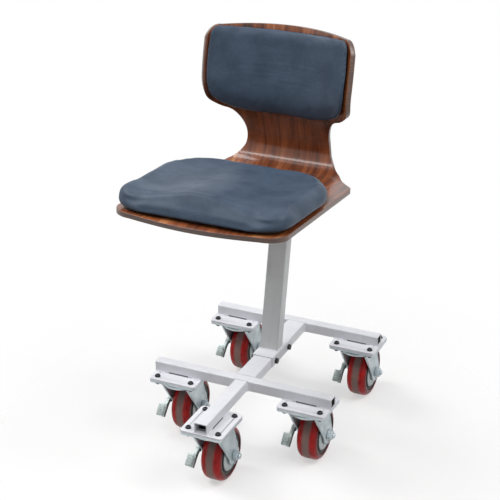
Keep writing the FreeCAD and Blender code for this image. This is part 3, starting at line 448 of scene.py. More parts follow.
red = Finish("red_polyurethane", Specular_IOR_Level=0.18)
from_middle = red.node("ShaderNodeAttribute", {"attribute_name": "across"}, {}, "Fac")
scuff = red.noise(red.place(), 60, 5, 0.65)
worn = 1 - (from_middle + (scuff - 0.5) * 6).rise(4.5, 12.5)
# Painted shade: the red darkens towards the edge of each round shoulder.
shoulder_shade = (from_middle + (scuff - 0.5) * 2).rise(20.5, 24.5)
tyre_red_and_shade = red.mix(scuff.rise(0.35, 0.7), (0.47, 0.012, 0.011), (0.27, 0.008, 0.008))
tyre_red_and_shade = red.mix(shoulder_shade * 0.8, tyre_red_and_shade, (0.045, 0.010, 0.010))
red.feed("Base Color", red.mix(worn * (0.72 + scuff * 0.3), tyre_red_and_shade, (0.23, 0.185, 0.165)))
red.feed("Roughness", 0.2 + worn * 0.3 + scuff * 0.1)
red.bump(scuff, 0.12, 0.4 * MM)

tread = [(x, TYRE_RADIUS) for x in (-TYRE_HALF, -10, -5, 0, 5, 10, TYRE_HALF)]
tyre = turned([(-TYRE_HALF, TYRE_BORE), *tread, (TYRE_HALF, TYRE_BORE)],
              {1: TYRE_ROUND, 7: TYRE_ROUND}, steps=96, segments=8)
layer = tyre.verts.layers.float.new("across")
for vert in tyre.verts:
    vert[layer] = abs(vert.co.x)
at_casters("_tyre", gathered((tyre, ON_AXLE)), red, "_wheel", "_tread", crease=50)


# Wheel centres: iron castings with a bored hub, on which the tyres are cast. They are painted black,
# and the grain of the casting shows through.

iron = mottled("black_iron", 240, 3, ((0.022, 0.02, 0.02), (0.06, 0.05, 0.045)),
               rough=0.6, grit=0.3 * MM)
dress(iron, [name + "_wheel_core" for name in CASTERS])


# Bearing covers and seals: a grey plated disc, slightly domed, is pressed into each side of a wheel
# centre, and a black rubber ring round it keeps the dirt out.

COVER_LINE = [(23, 7.2), (25.4, 7.2), (26, 12), (25.6, 28), (24.4, 36.5), (23, 38)]
SEAL_FOOT, SEAL_TOP, SEAL_INNER, SEAL_OUTER = 20.5, 24.6, 38.2, 42


def both_sides(outline, rounds, segments=6):
    """A ring at each side of the wheel, from the outline of the one at the right."""
    rings = [turned([(side * x, radius) for x, radius in outline], rounds, steps=64, segments=segments)
             for side in (-1, 1)]
    return gathered(*[(one, ON_AXLE) for one in rings])


cover_plating = mottled("cover_plating", 70, 4, ((0.52, 0.56, 0.55), (0.42, 0.46, 0.46)),
                        rough=0.36, rough_spread=0.14, metallic=0.35)
covers = both_sides(COVER_LINE, {})
at_casters("_bearing_covers", covers, cover_plating, "_wheel", "_hub_covers", crease=40)

seal_rubber = mottled("seal_rubber", 120, 4, ((0.008, 0.008, 0.009), (0.03, 0.028, 0.028)), rough=0.55)
seal_line = [(SEAL_FOOT, SEAL_INNER), (SEAL_FOOT, SEAL_OUTER), (SEAL_TOP, SEAL_OUTER),
             (SEAL_TOP, SEAL_INNER)]
seals = both_sides(seal_line, {1: 0.9, 2: 1.6, 3: 0.9}, segments=4)
at_casters("_seals", seals, seal_rubber, "_wheel")


# Axle bolts and brake pins: zinc-plated, the bolt's head at the left of the fork, its nut at the right
# with a few threads showing, and a riveted pin at the left for the pedal.

AXLE_RADIUS, AXLE_ACROSS, AXLE_CHAMFER = 6, 19, 0.9
AXLE_HEAD_TALL, AXLE_NUT_TALL, AXLE_END = 6, 10, 4.4
AXLE_WASHER_RADIUS, AXLE_WASHER_HOLE, AXLE_WASHER_THICK = 12.4, 6.05, 1.6
THREAD_PITCH, THREAD_DEEP = 1.25, 0.6
ON_PIN = moved(0, 18, 80)
PIN_RADIUS, PIN_HEAD_RADIUS, PIN_HEAD, PIN_TIP = 4, 6.5, 43, 45


def threaded(radius, length):
    """A short stretch of thread along X from zero, as a stack of ridges."""
    outline = [(0, 2 * PINHOLE)]
    for ridge in range(int(length / THREAD_PITCH)):
        outline += [(ridge * THREAD_PITCH, radius - THREAD_DEEP), ((ridge + 0.5) * THREAD_PITCH, radius)]
    outline += [(length, radius - 0.9), (length + 0.4, 2 * PINHOLE)]
    return turned(outline, {}, steps=32)


def axle_washer():
    """A washer along X from zero."""
    return ring(0, AXLE_WASHER_THICK, AXLE_WASHER_HOLE, AXLE_WASHER_RADIUS, {1: 0.4, 2: 0.4},
                steps=40, segments=2)


pin_line = [(-PIN_TIP, 0.3), (-PIN_TIP, PIN_HEAD_RADIUS), (-PIN_HEAD, PIN_HEAD_RADIUS),
            (-PIN_HEAD, PIN_RADIUS), (-LEG_INNER, PIN_RADIUS), (-LEG_INNER, 0.3)]
axle = gathered(
    (ring(-LEG_OUTER, LEG_OUTER, 2 * PINHOLE, AXLE_RADIUS, {}, steps=40), ON_AXLE),
    (hexagon(AXLE_ACROSS, AXLE_HEAD_TALL, AXLE_CHAMFER), ON_AXLE @ moved(-LEG_OUTER - AXLE_HEAD_TALL)),
    (axle_washer(), ON_AXLE @ moved(-LEG_OUTER - 1.5)),
    (axle_washer(), ON_AXLE @ moved(LEG_OUTER - 0.1)),
    (hexagon(AXLE_ACROSS, AXLE_NUT_TALL, AXLE_CHAMFER), ON_AXLE @ moved(LEG_OUTER)),
    (threaded(AXLE_RADIUS, AXLE_END), ON_AXLE @ moved(LEG_OUTER + AXLE_NUT_TALL)),
    (turned(pin_line, {1: 1.6}, steps=32, segments=4), ON_PIN),
)
at_casters("_axle_set", axle, zinc, "_swivel", "_axle_hardware", crease=30)


# Brake pedals: each has a narrow zinc-plated arm on the brake pin, bent down at its middle, and a wide
# tab on the falling part with grip ribs across it. Shoes have dulled the plating.

PEDAL_IN, ARM_OUT, TAB_OUT = 34.6, 42.5, 55.4
TAB_TOP, TAB_FALL, TAB_THICK = (-23, -2), (-20, -23), (0, 2.26, -1.97)
TAB_START, TAB_END = 0.04, 1
ARM_LINE = [(0, 7), (-11, 3.4), TAB_TOP, (-43, -25), (-36, -32), (-15, -9.5), (-6, -5), (0, -7)]
KNUCKLE_RADIUS, KNUCKLE_HOLE = 8, 4.05
RIBS, RIB_START, RIB_STEP, RIB_RADIUS, RIB_INSET = 5, 0.22, 0.15, 0.9, 3


def thickened(points, rounds, push, rim):
    """A plate with soft rims."""
    form = plate_of(points, rounds, 5, push)
    round_rims(form, angle=1.2, radius=rim, segments=2)
    return form


def on_tab(across, share):
    """A point on the tab's upper face, across and down its fall."""
    return across, TAB_TOP[0] + TAB_FALL[0] * share, TAB_TOP[1] + TAB_FALL[1] * share


arm = thickened([(-PEDAL_IN, y, z) for y, z in ARM_LINE], {2: 9, 3: 2, 4: 2, 5: 7},
                (PEDAL_IN - ARM_OUT, 0, 0), 0.8)
tab = thickened([on_tab(-PEDAL_IN, TAB_START), on_tab(-TAB_OUT, TAB_START), on_tab(-TAB_OUT, TAB_END),
                 on_tab(-PEDAL_IN, TAB_END)], {1: 3, 2: 3}, TAB_THICK, 0.7)
knuckle = ring(-ARM_OUT, -PEDAL_IN, KNUCKLE_HOLE, KNUCKLE_RADIUS, {1: 1, 2: 1},
               steps=40, segments=3)
ribs = []
for step in range(RIBS):
    rib = ring(-TAB_OUT + RIB_INSET, -PEDAL_IN - RIB_INSET, PINHOLE / 2, RIB_RADIUS,
               {1: 0.7, 2: 0.7}, steps=12, segments=2)
    ribs.append((rib, ON_PIN @ moved(*on_tab(0, RIB_START + RIB_STEP * step))))
pedal = gathered((arm, ON_PIN), (tab, ON_PIN), (knuckle, ON_PIN), *ribs)
trodden = zinc_plating("trodden_zinc", (0.36, 0.41, 0.40), (0.25, 0.29, 0.28))
at_casters("_pedal_strap", pedal, trodden, "_pedal", "_brake_pedal", crease=30)


# Welds: beads of small overlapping drops where the tubes meet each other and the mount plates, and
# round the column's foot on the saddle, under the same coat as the tubes. At each plate only the
# ends of the tube's sides are welded.

TUBE_TOP, TUBE_HALF, SPINE_HALF = PLATE_TOP + TUBE_SIDE, TUBE_SIDE / 2, 22.5
SADDLE_TOP, COLUMN_HALF, COLUMN_FRONT, COLUMN_BACK = 193, 22.5, 54.5, 85
PLATE_RUN = 34, 54
DROP_RADIUS, DROP_STEP = 2.3, 2.6


def weld_run(form, first, last):
    """A row of drops from one point to another, in millimetres."""
    first, last = Vector(first), Vector(last)
    count = max(round((last - first).length / DROP_STEP), 2)
    for step in range(count + 1):
        at = first.lerp(last, step / count)
        radius = DROP_RADIUS + 0.5 * noise.noise(at * 0.9)
        bmesh.ops.create_uvsphere(form, u_segments=8, v_segments=5, radius=radius, matrix=moved(*at))


def beside_tube(name, along, side, sink=0):
    """A place over a caster: so far along its tube, and at one side of it."""
    x, y = CASTERS[name]
    if name == "nose":
        return x + side * (NOSE_HALF - sink), y + along
    return x + along, y + side * (TUBE_HALF - sink)


welds = bmesh.new()
tube_joints = ((NOSE_HALF, FRONT_CROSS_Y - TUBE_HALF), (SPINE_HALF, FRONT_CROSS_Y + TUBE_HALF),
               (SPINE_HALF, REAR_CROSS_Y - TUBE_HALF))
for half, y in tube_joints:
    weld_run(welds, (-half, y, TUBE_TOP), (half, y, TUBE_TOP))
    for x in (-half, half):
        weld_run(welds, (x, y, PLATE_TOP + 2), (x, y, TUBE_TOP - 1))
for y in (COLUMN_FRONT, COLUMN_BACK):
    weld_run(welds, (0.5 - COLUMN_HALF, y, SADDLE_TOP), (COLUMN_HALF - 0.5, y, SADDLE_TOP))
for x in (-COLUMN_HALF, COLUMN_HALF):
    weld_run(welds, (x, COLUMN_FRONT + 0.5, SADDLE_TOP), (x, COLUMN_BACK - 0.5, SADDLE_TOP))
for name in CASTERS:
    for end in (-1, 1):
        for side in (-1, 1):
            weld_run(welds, *[(*beside_tube(name, end * along, side), PLATE_TOP) for along in PLATE_RUN])
finished("welds", in_metres(welds), off_white, "stool", crease=180)


# Weld grooves: between the two welds at each side of a mount plate the foot of the tube has no bead,
# and a dark strip in the groove there is painted shade.

GROOVE_LONG, GROOVE_WIDE, GROOVE_TALL, GROOVE_SINK = 48, 2.4, 3, 0.6

# Dark strips that paint the shade in the grooves at the tubes' feet.
painted_groove_shade = mottled("painted_groove_shade", 200, 3, ((0.08, 0.08, 0.09), (0.18, 0.18, 0.2)), rough=0.9)
groove_shade_strips = bmesh.new()
for name in CASTERS:
    span = (GROOVE_WIDE, GROOVE_LONG) if name == "nose" else (GROOVE_LONG, GROOVE_WIDE)
    for side in (-1, 1):
        middle = moved(*beside_tube(name, 0, side, GROOVE_SINK), PLATE_TOP + GROOVE_TALL / 2)
        bmesh.ops.create_cube(groove_shade_strips, size=1, matrix=middle @ Matrix.Diagonal((*span, GROOVE_TALL, 1)))
finished("weld_groove_shade", in_metres(groove_shade_strips), painted_groove_shade, "stool")


# Column and carrier: one raked rectangular tube, welded on the saddle below and to the arm that
# carries the seat's straps above. Their coat is a greyer copy of the tubes' off-white, as painted
# shade. Black bolts hold the saddle on the spine and the pan on the straps.

# A greyer copy of the tubes' off-white coat, as painted shade on the column and carrier.
grey = powder_coat("greyed_off_white_shade", (0.62, 0.635, 0.64), (0.48, 0.49, 0.49))
dress(grey, ["column_tube", "seat_arm", "front_seat_strap", "rear_seat_strap"], 0.6 * MM)
dress(black, ["saddle_bolts", "seat_bolts"], 0.5 * MM)


# Shell: seat pan, bend, neck and back pressed in one from thin plies, faced with reddish brown veneer
# whose grain runs from the front lip up the back, and sealed with a clear glossy lacquer. It is bolted
# to the two straps, and its dark edges are rounded over by hand.

PAN_ANGLE, NECK_ANGLE, BACK_ANGLE = 5.2, 22, 11.5
PAN_TILT, NECK_LEAN = math.radians(PAN_ANGLE), math.radians(NECK_ANGLE)
PAN_FRONT_Y, PAN_FRONT_Z = -346.25, 651
PLY, PAN_LENGTH, PAN_STRAIGHT = 11, 447, 120
FRONT_HALF, FRONT_BOW, FRONT_CORNER = 190, 14, 44
LIP_RADIUS, LIP_TURN = 70 + PLY, math.radians(20)
LIP_REACH = LIP_RADIUS * math.sin(LIP_TURN)
BEND_RADIUS, BEND_TURN = 50, math.radians(112)
BEND_TOP = PLY + BEND_RADIUS * (1 - math.cos(BEND_TURN))
NECK_RISE = 48
LUMBAR_RADIUS, LUMBAR_TURN = 160, math.radians(NECK_ANGLE + BACK_ANGLE - PAN_ANGLE)
BACK_HALF, BACK_RUN, BACK_TALL, BACK_FOOT, SHOULDER = 171, 260, 336, 80, 290
HOLLOW, HOLLOW_FULL = 70, 0.5
FRONT_ROWS, PAN_ROWS, BEND_ROWS, BACK_ROWS, TOP_ROWS, COLUMNS = 14, 34, 28, 48, 7, 60
ARC_STEPS, TOP_STEPS, SEARCH_STEPS = 8, 12, 8


def pan_point(x, y, z):
    """A point of the pan's own frame, in millimetres, as a place in the scene."""
    return Vector((x, PAN_FRONT_Y + y * math.cos(PAN_TILT) + z * math.sin(PAN_TILT),
                   PAN_FRONT_Z - y * math.sin(PAN_TILT) + z * math.cos(PAN_TILT))) * MM


def soft_step(value):
    """Rises softly from nothing at zero to one at one."""
    value = min(max(value, 0), 1)
    return value * value * (3 - 2 * value)


def hollow_lift(x, run):
    """How far the hollow across the back brings a point forwards."""
    depth = HOLLOW * soft_step(run / BACK_RUN / HOLLOW_FULL)
    if depth < 0.01:
        return 0
    radius = (BACK_HALF ** 2 + depth ** 2) / (2 * depth)
    return radius - math.sqrt(radius ** 2 - x ** 2)


def back_lean(run):
    """How far the back leans backwards, so far up its rear face."""
    return min(max(run - NECK_RISE, 0) / LUMBAR_RADIUS, LUMBAR_TURN) - NECK_LEAN


def back_place(x, run, off):
    """A point of the back: across, up its rear face, and forwards from that face."""
    lean = back_lean(run)
    neck = min(run, NECK_RISE)
    upper = max(run - NECK_RISE - LUMBAR_RADIUS * LUMBAR_TURN, 0)
    outer = BEND_RADIUS + PLY
    y = PAN_LENGTH + outer * math.sin(BEND_TURN) - neck * math.sin(NECK_LEAN)
    z = outer * (1 - math.cos(BEND_TURN)) + neck * math.cos(NECK_LEAN)
    y += LUMBAR_RADIUS * (math.cos(NECK_LEAN) - math.cos(lean)) + upper * math.sin(lean)
    z += LUMBAR_RADIUS * (math.sin(lean) + math.sin(NECK_LEAN)) + upper * math.cos(lean)
    return x, y - off * math.cos(lean), z + off * math.sin(lean)


def arc_through(first, middle, last, steps=ARC_STEPS):
    """Points on the circle through three points, from the first to the last."""
    a, b, c = (complex(*point) for point in (first, middle, last))
    ratio = (c - a) / (b - a)
    centre = a - (a - b) * (ratio - abs(ratio) ** 2) / (2j * ratio.imag)
    sweep = np.angle((c - centre) / (a - centre))
    arc = [centre + (a - centre) * np.exp(1j * sweep * step / steps) for step in range(steps + 1)]
    return [(point.real, point.imag) for point in arc]


# The right edge above the bend, as shares of the back's half width and of its height.
EDGE_SHARES = [
    [(0.88, 0.045), (0.7, 0.085), (0.605, 0.15)],
    [(0.605, 0.15), (0.584, 0.215), (0.588, 0.28)],
    [(0.588, 0.28), (0.64, 0.362), (0.79, 0.425)],
    [(0.79, 0.425), (0.866, 0.4455), (0.925, 0.47)],
    [(0.925, 0.47), (0.963, 0.4973), (0.979, 0.53)],
    [(0.979, 0.53), (0.993, 0.715), (0.99, 0.9)],
    [(0.99, 0.9), (0.9417, 0.9563), (0.833, 0.9825)],
]
edge = [(x * BACK_HALF, z * BACK_TALL) for arc in EDGE_SHARES for x, z in arc_through(*arc)]
EDGE_X, EDGE_Z = zip(*edge)

# The right edge from the pan into the bend, across and behind the front edge.
FLARE_X, FLARE_Y = zip(*arc_through((187, 415), (147.7, 456.9), (115.9, 504.3)))

# The top edge from the middle to the right, and down round its corner.
top_edge = arc_through((0, BACK_TALL), (71.2, BACK_TALL - 1.47), edge[-1], TOP_STEPS)
top_edge += reversed(edge[-ARC_STEPS - 1:-1])
TOP_X, TOP_Z = zip(*top_edge)
TOP_SHARE = np.concatenate([[0], np.cumsum(np.hypot(np.diff(TOP_X), np.diff(TOP_Z)))])
TOP_SHARE = TOP_SHARE / TOP_SHARE[-1]


def read_off(value, places, values):
    """The value of a broken line at a place."""
    return float(np.interp(value, places, values))


def pan_half(y):
    """Half the pan's width at a distance behind its front edge, past the round corners."""
    if y < FLARE_Y[0]:
        return read_off(y, (FRONT_BOW + FRONT_CORNER, FLARE_Y[0]), (FRONT_HALF, FLARE_X[0]))
    return read_off(y, FLARE_Y, FLARE_X)


def pan_row(y):
    """One straight row of points across the pan, by shares of its half width from -1 to 1."""
    half = pan_half(y)
    return lambda share: (share * half, y, PLY)


def front_curve(share):
    """The front edge with its bow and round corners, by shares of its length from the middle."""
    flat = FRONT_HALF - FRONT_CORNER
    reach = abs(share) * (flat + FRONT_CORNER * math.pi / 2)
    level, turn = min(reach, flat), max(reach - flat, 0) / FRONT_CORNER
    y = FRONT_BOW * (level / flat) ** 2 + FRONT_CORNER * (1 - math.cos(turn))
    return math.copysign(level + FRONT_CORNER * math.sin(turn), share), y


def front_row(part, rear):
    """A row part of the way from the front edge to a straight row, lowered where the lip turns down."""
    def point(share):
        x, y = (a + (b - a) * part for a, b in zip(front_curve(share), rear(share)))
        dip = math.asin(max(LIP_REACH - y, 0) / LIP_RADIUS)
        return x, y, PLY - LIP_RADIUS * (1 - math.cos(dip))
    return point


def bend_row(turn):
    """One row of points across the bend."""
    y = PAN_LENGTH + BEND_RADIUS * math.sin(turn)
    z = PLY + BEND_RADIUS * (1 - math.cos(turn))
    half = pan_half(y)
    if z > EDGE_Z[0]:
        half = min(half, read_off(z, EDGE_Z, EDGE_X))
    return lambda share: (share * half, y, z)


def on_back(x, z):
    """The point of the back's front face at a place across and a height."""
    run = z - BACK_FOOT
    for attempt in range(SEARCH_STEPS):
        reached = back_place(x, run, PLY + hollow_lift(x, run))[2]
        run += (z - reached) / math.cos(back_lean(run))
    return back_place(x, run, PLY + hollow_lift(x, run))


def back_row(z):
    """One level row of points across the back."""
    half = read_off(z, EDGE_Z, EDGE_X)
    return lambda share: on_back(share * half, z)


def top_row(part):
    """A row part of the way from the shoulder's level up to the top edge with its round corners."""
    half = read_off(SHOULDER, EDGE_Z, EDGE_X)

    def point(share):
        x = read_off(abs(share), TOP_SHARE, TOP_X)
        z = read_off(abs(share), TOP_SHARE, TOP_Z)
        level = abs(share) * half
        x = math.copysign(level + (x - level) * part, share)
        return on_back(x, SHOULDER + (z - SHOULDER) * part)
    return point


def mapped_grid(rows):
    """A sheet whose rows lie where the row functions say, with the length along them as UV."""
    form = bmesh.new()
    bmesh.ops.create_grid(form, x_segments=COLUMNS, y_segments=len(rows) - 1, size=1)
    heights = sorted({round(vert.co.y, 5) for vert in form.verts})
    levels = {height: index for index, height in enumerate(heights)}
    middles = [Vector(row(0)) for row in rows]
    steps = [(after - before).length for before, after in zip(middles, middles[1:])]
    along = np.concatenate([[0], np.cumsum(steps)])
    uv = form.loops.layers.uv.new("grain")
    for face in form.faces:
        for loop in face.loops:
            row = levels[round(loop.vert.co.y, 5)]
            loop[uv].uv = (rows[row](loop.vert.co.x)[0] * MM, along[row] * MM)
    for vert in form.verts:
        vert.co = pan_point(*rows[levels[round(vert.co.y, 5)]](vert.co.x))
    return form


straight = pan_row(PAN_STRAIGHT)
rows = [front_row(step / FRONT_ROWS, straight) for step in range(FRONT_ROWS)]
rows += [pan_row(y) for y in np.linspace(PAN_STRAIGHT, PAN_LENGTH, PAN_ROWS, endpoint=False)]
rows += [bend_row(turn) for turn in np.linspace(0, BEND_TURN, BEND_ROWS, endpoint=False)]
rows += [back_row(z) for z in np.linspace(BEND_TOP, SHOULDER, BACK_ROWS, endpoint=False)]
rows += [top_row(step / TOP_ROWS) for step in range(TOP_ROWS + 1)]

wood = Finish("veneer", Specular_IOR_Level=0.15, Coat_Weight=0.75, Coat_Roughness=0.17)
grain_at = wood.node("ShaderNodeUVMap", {"uv_map": "grain"}, {})


def along_grain(across, along, detail, distort):
    """Noise drawn out along the grain."""
    stretched = wood.node("ShaderNodeMapping", {}, {"Vector": grain_at, "Scale": (across, along, 1)})
    return wood.noise(stretched, 1.0, detail, 0.6, distort)


broad, narrow = along_grain(11, 2.4, 3, 1.0), along_grain(40, 3.6, 4, 0.7)
figure = broad * 0.42 + narrow * 0.42 + along_grain(170, 9, 3, 0) * 0.16
pores = along_grain(900, 30, 2, 0)
tone = wood.node("ShaderNodeValToRGB", {"stops": [
    (0.38, (0.030, 0.009, 0.004)), (0.46, (0.130, 0.034, 0.012)), (0.54, (0.250, 0.074, 0.025)),
    (0.63, (0.440, 0.180, 0.068))]}, {"Fac": figure})
wood.feed("Base Color", wood.mix(pores.rise(0.5, 0.75) * 0.6, tone, (0.02, 0.008, 0.005)))
wood.feed("Roughness", 0.3 + pores * 0.2)

plies = Finish("ply_edge", Coat_Weight=0.6, Coat_Roughness=0.25)
ply_tone = plies.noise(plies.place((30, 30, 700)), 1, 3)
plies.feed("Base Color", plies.mix(ply_tone.rise(0.4, 0.65), (0.035, 0.014, 0.009), (0.11, 0.045, 0.024)))
plies.feed("Roughness", 0.4 + ply_tone * 0.2)

shell = finished("plywood_shell", mapped_grid(rows), wood, "stool")
shell.data.materials.append(plies.material)
ply = shell.modifiers.new("plies", "SOLIDIFY")
ply.thickness = PLY * MM
ply.offset = -1
ply.material_offset_rim = 1
soft_edges(shell, 1.8 * MM, segments=3, angle=50)
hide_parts("seat_shell")


# Seat cushion and back pad: moulded foam on a thin plywood board, covered in slate-blue leatherette
# that is drawn tight round the edges and stapled underneath. The seat is dished for the thighs, with a
# ridge between them at the front. The back pad is thin and follows the hollow of the back.

SWELL_FRAMES, SMOOTHINGS = 20, 5
SEAT_STEP, SEAT_SWELL = 4.2 * MM, 5 * MM
BACK_STEP, BACK_SWELL = 3 * MM, 1.5 * MM
CREST, CREST_BACK, CREST_BOW, CREST_HALF, CREST_WIDE = 3, 24, 20, 150, 8
DROOP, DROOP_ASIDE, DROOP_BACK = 5, 80, 95
SEAT_SLACK = 0.35
BACK_MIDDLE_Z, LEVEL_CREASE, BACK_SLACK = 845, 0.55, 0.25

board = Finish("board", Roughness=0.7)
board_grain = board.noise(board.place((40, 4, 40)), 1)
board.feed("Base Color", board.mix(board_grain, (0.45, 0.32, 0.2), (0.32, 0.2, 0.11)))
dress(board, ["cushion_board", "back_pad_board"])

leather = Finish("leatherette", Specular_IOR_Level=0.2)
leather_at = leather.place()
blotch = leather.noise(leather_at, 16, 5, 0.6)
pebble = leather.node("ShaderNodeTexVoronoi", {"feature": "SMOOTH_F1"},
                      {"Vector": leather_at, "Scale": 620})
fold = leather.noise(leather.place((1, 1, 5)), 38, 4, 0.6, 0.4)
hide = leather.mix(blotch.rise(0.35, 0.7), (0.058, 0.084, 0.124), (0.036, 0.054, 0.083))
leather.feed("Base Color", leather.mix(pebble.rise(0.25, 0.6) * 0.35, hide, (0.026, 0.041, 0.065)))
leather.feed("Roughness", 0.40 + blotch * 0.14)
leather.bump(pebble * 0.35 + fold * 1.4, 0.22, 0.6 * MM)


def evaluated(piece):
    """A copy of a piece's mesh with its modifiers applied."""
    return bpy.data.meshes.new_from_object(piece.evaluated_get(bpy.context.evaluated_depsgraph_get()))


def remeshed(name, node, step):
    """An even skin over a copy of a CAD solid."""
    form = bmesh.new()
    form.from_mesh(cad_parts[node].data)
    bmesh.ops.remove_doubles(form, verts=form.verts, dist=0.001 * MM)
    bmesh.ops.recalc_face_normals(form, faces=form.faces)
    piece = finished(name, form, leather, "stool", crease=180)
    skin = piece.modifiers.new("even skin", "REMESH")
    skin.mode = "VOXEL"
    skin.voxel_size = step
    piece.data = evaluated(piece)
    piece.modifiers.clear()
    return piece


def swollen(piece, resting, cap):
    """Lets the foam press the cover outwards, away from the side that rests on its board."""
    rest = np.array([vert.co for vert in piece.data.vertices])
    held = piece.vertex_groups.new(name="held")
    flat = [vert.index for vert in piece.data.vertices if vert.normal.dot(resting) > 0.6]
    held.add(flat, 1, "REPLACE")
    cover = piece.modifiers.new("cover", "CLOTH")
    cover.settings.vertex_group_mass = held.name
    cover.settings.use_pressure = True
    cover.settings.uniform_pressure_force = 4
    cover.settings.effector_weights.gravity = 0
    cover.settings.tension_stiffness = 25
    cover.settings.bending_stiffness = 2
    cover.point_cache.frame_end = SWELL_FRAMES
    for step in range(1, SWELL_FRAMES + 1):
        bpy.context.scene.frame_set(step)
    pressed = evaluated(piece)
    move = np.array([vert.co for vert in pressed.vertices]) - rest
    reach = np.linalg.norm(move, axis=1, keepdims=True)
    move *= np.minimum(1, cap / np.maximum(reach, 1e-9))
    piece.modifiers.clear()
    piece.data.vertices.foreach_set("co", (rest + move).ravel())
    bpy.context.scene.frame_set(1)


def softened(piece, creases):
    """Evens the cover out, lays its creases in it and doubles its mesh."""
    form = bmesh.new()
    form.from_mesh(piece.data)
    for times in range(SMOOTHINGS):
        bmesh.ops.smooth_vert(form, verts=form.verts, factor=0.5,
                              use_axis_x=True, use_axis_y=True, use_axis_z=True)
    form.normal_update()
    for vert in form.verts:
        vert.co += vert.normal * creases(vert.co / MM) * MM
    form.to_mesh(piece.data)
    form.free()
    piece.data.shade_smooth()
    fine = piece.modifiers.new("fine", "SUBSURF")
    fine.levels = fine.render_levels = 1


def seat_creases(place):
    """The crest over the cushion's front, its drooping corners and slack in its cover."""
    y, z, aside = place.y - PAN_FRONT_Y, place.z - PAN_FRONT_Z, abs(place.x)
    back = y * math.cos(PAN_TILT) - z * math.sin(PAN_TILT)
    rise = y * math.sin(PAN_TILT) + z * math.cos(PAN_TILT)
    crest = CREST_BACK + CREST_BOW * (1 - min(aside / CREST_HALF, 1) ** 2)
    sharp = math.exp(-((back - crest) / CREST_WIDE) ** 2)
    sharp = sharp * soft_step((rise - 36) / 12) * soft_step((178 - aside) / 30)
    droop = soft_step((aside - DROOP_ASIDE) / 90) * soft_step((DROOP_BACK - back) / 80)
    droop = droop * soft_step((rise - 24) / 16)
    broad_slack = noise.noise(Vector((place.x / 42, place.y / 30, 0)))
    fine_slack = noise.noise(Vector((place.x / 16, place.y / 60, 4)))
    return CREST * sharp - DROOP * droop + SEAT_SLACK * broad_slack * fine_slack


def back_creases(place):
    """Fine level creases across the middle of the back pad, and slack in its cover."""
    middle = math.exp(-(place.x / 95) ** 2 - ((place.z - BACK_MIDDLE_Z) / 45) ** 2)
    wave = noise.noise(Vector((place.x / 60, 0, place.z / 6.5)))
    slack = noise.noise(Vector((place.x / 45, 7, place.z / 22)))
    return LEVEL_CREASE * middle * wave + BACK_SLACK * slack


seat_pad = remeshed("seat_cushion_cover", "seat_cushion", SEAT_STEP)
swollen(seat_pad, Vector((0, -math.sin(PAN_TILT), -math.cos(PAN_TILT))), SEAT_SWELL)
softened(seat_pad, seat_creases)
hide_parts("seat_cushion")

rest_pad = remeshed("back_pad_cover", "back_pad", BACK_STEP)
swollen(rest_pad, Vector((0, 1, 0)), BACK_SWELL)
softened(rest_pad, back_creases)
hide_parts("back_pad")


# Studio: a pale floor that fades into a white surround, two lamps high at both sides, a long strip
# before the seat that draws the line of light on the bend, and two weak lamps that fill the shadows.

FLOOR_HALF, FLOOR_SHOWN = 6, 0.5
FILL_LIGHT = 0.18

floor_mesh = bpy.data.meshes.new("floor")
floor_form = bmesh.new()
bmesh.ops.create_grid(floor_form, x_segments=1, y_segments=1, size=FLOOR_HALF)
floor_form.to_mesh(floor_mesh)
floor_form.free()
floor = bpy.data.objects.new("floor", floor_mesh)
bpy.context.scene.collection.objects.link(floor)
pale = Finish("pale_floor", Base_Color=(0.92, 0.92, 0.92), Roughness=0.9)
out = pale.node("ShaderNodeVectorMath", {"operation": "LENGTH"}, {0: pale.place()}, "Value")
pale.feed("Alpha", FLOOR_SHOWN - out.rise(0.3, 0.95) * FLOOR_SHOWN)
floor_mesh.materials.append(pale.material)

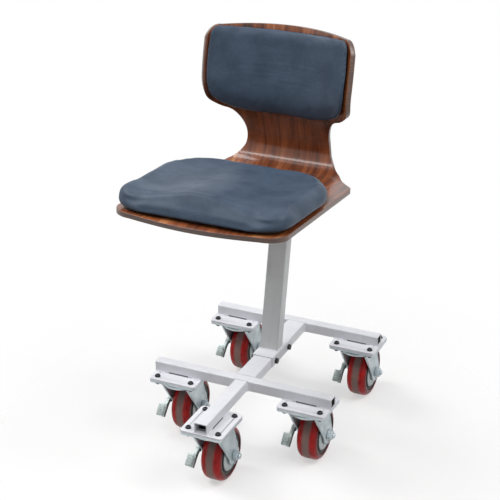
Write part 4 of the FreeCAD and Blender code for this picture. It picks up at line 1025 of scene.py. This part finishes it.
world = bpy.data.worlds.new("studio")
bpy.context.scene.world = world
world.use_nodes = True
links, nodes = world.node_tree.links, world.node_tree.nodes
sky = nodes["Background"]
sky.inputs["Color"].default_value = (1, 1, 1, 1)
path = nodes.new("ShaderNodeLightPath")
seen = path.outputs["Is Camera Ray"]
for ray in ("Is Glossy Ray", "Is Transmission Ray"):
    either = nodes.new("ShaderNodeMath")
    either.operation = "MAXIMUM"
    links.new(seen, either.inputs[0])
    links.new(path.outputs[ray], either.inputs[1])
    seen = either.outputs[0]
strength = nodes.new("ShaderNodeMapRange")
strength.inputs["To Min"].default_value = FILL_LIGHT
strength.inputs["To Max"].default_value = 1
links.new(seen, strength.inputs["Value"])
links.new(strength.outputs[0], sky.inputs["Strength"])


def lamp(name, place, aim, wide, deep, power):
    """A soft lamp turned towards a point."""
    data = bpy.data.lights.new(name, "AREA")
    data.shape = "RECTANGLE"
    data.size = wide
    data.size_y = deep
    data.energy = power
    made = bpy.data.objects.new(name, data)
    made.location = place
    made.rotation_euler = (Vector(aim) - Vector(place)).to_track_quat("-Z", "Y").to_euler()
    bpy.context.scene.collection.objects.link(made)


lamp("overhead left", (-1.7, -0.1, 2.7), (0, 0, 0.3), 1.0, 1.6, 42)
lamp("overhead right", (1.7, 0, 2.7), (0, 0, 0.3), 1.0, 1.6, 40)
lamp("strip", (-0.5, -1.4, 2.9), (0, 0.05, 0.7), 2.8, 0.4, 34)
lamp("right", (2.4, -0.9, 2.0), (0, 0, 0.5), 1.6, 1.6, 14)
lamp("left", (-2.2, -1.6, 1.6), (0, 0, 0.5), 1.4, 1.4, 5)


# Camera: a long lens well above the seat, to the right of the stool's front. The focal length is
# in pixels of a square picture, and the aim is in millimetres.

AZIMUTH, HEIGHT, ROLL = math.radians(24.155), math.radians(24.224), math.radians(0.217)
AIM, DISTANCE = (14.71, -85.25, 508.1), 3.1292
SENSOR, PICTURE, FOCAL = 36, 500, 1448.5

away = Vector((math.sin(AZIMUTH) * math.cos(HEIGHT), -math.cos(AZIMUTH) * math.cos(HEIGHT),
               math.sin(HEIGHT)))
level = Vector((math.cos(AZIMUTH), math.sin(AZIMUTH), 0))
upward = away.cross(level)
right = level * math.cos(ROLL) + upward * math.sin(ROLL)
up = upward * math.cos(ROLL) - level * math.sin(ROLL)
camera_data = bpy.data.cameras.new("camera")
camera_data.sensor_width = SENSOR
camera_data.lens = FOCAL * SENSOR / PICTURE
camera = bpy.data.objects.new("camera", camera_data)
turn = Matrix((right, up, away)).transposed().to_4x4()
camera.matrix_world = Matrix.Translation(Vector(AIM) * MM + away * DISTANCE) @ turn
bpy.context.scene.collection.objects.link(camera)
bpy.context.scene.camera = camera
bpy.context.scene.view_settings.view_transform = "Standard"
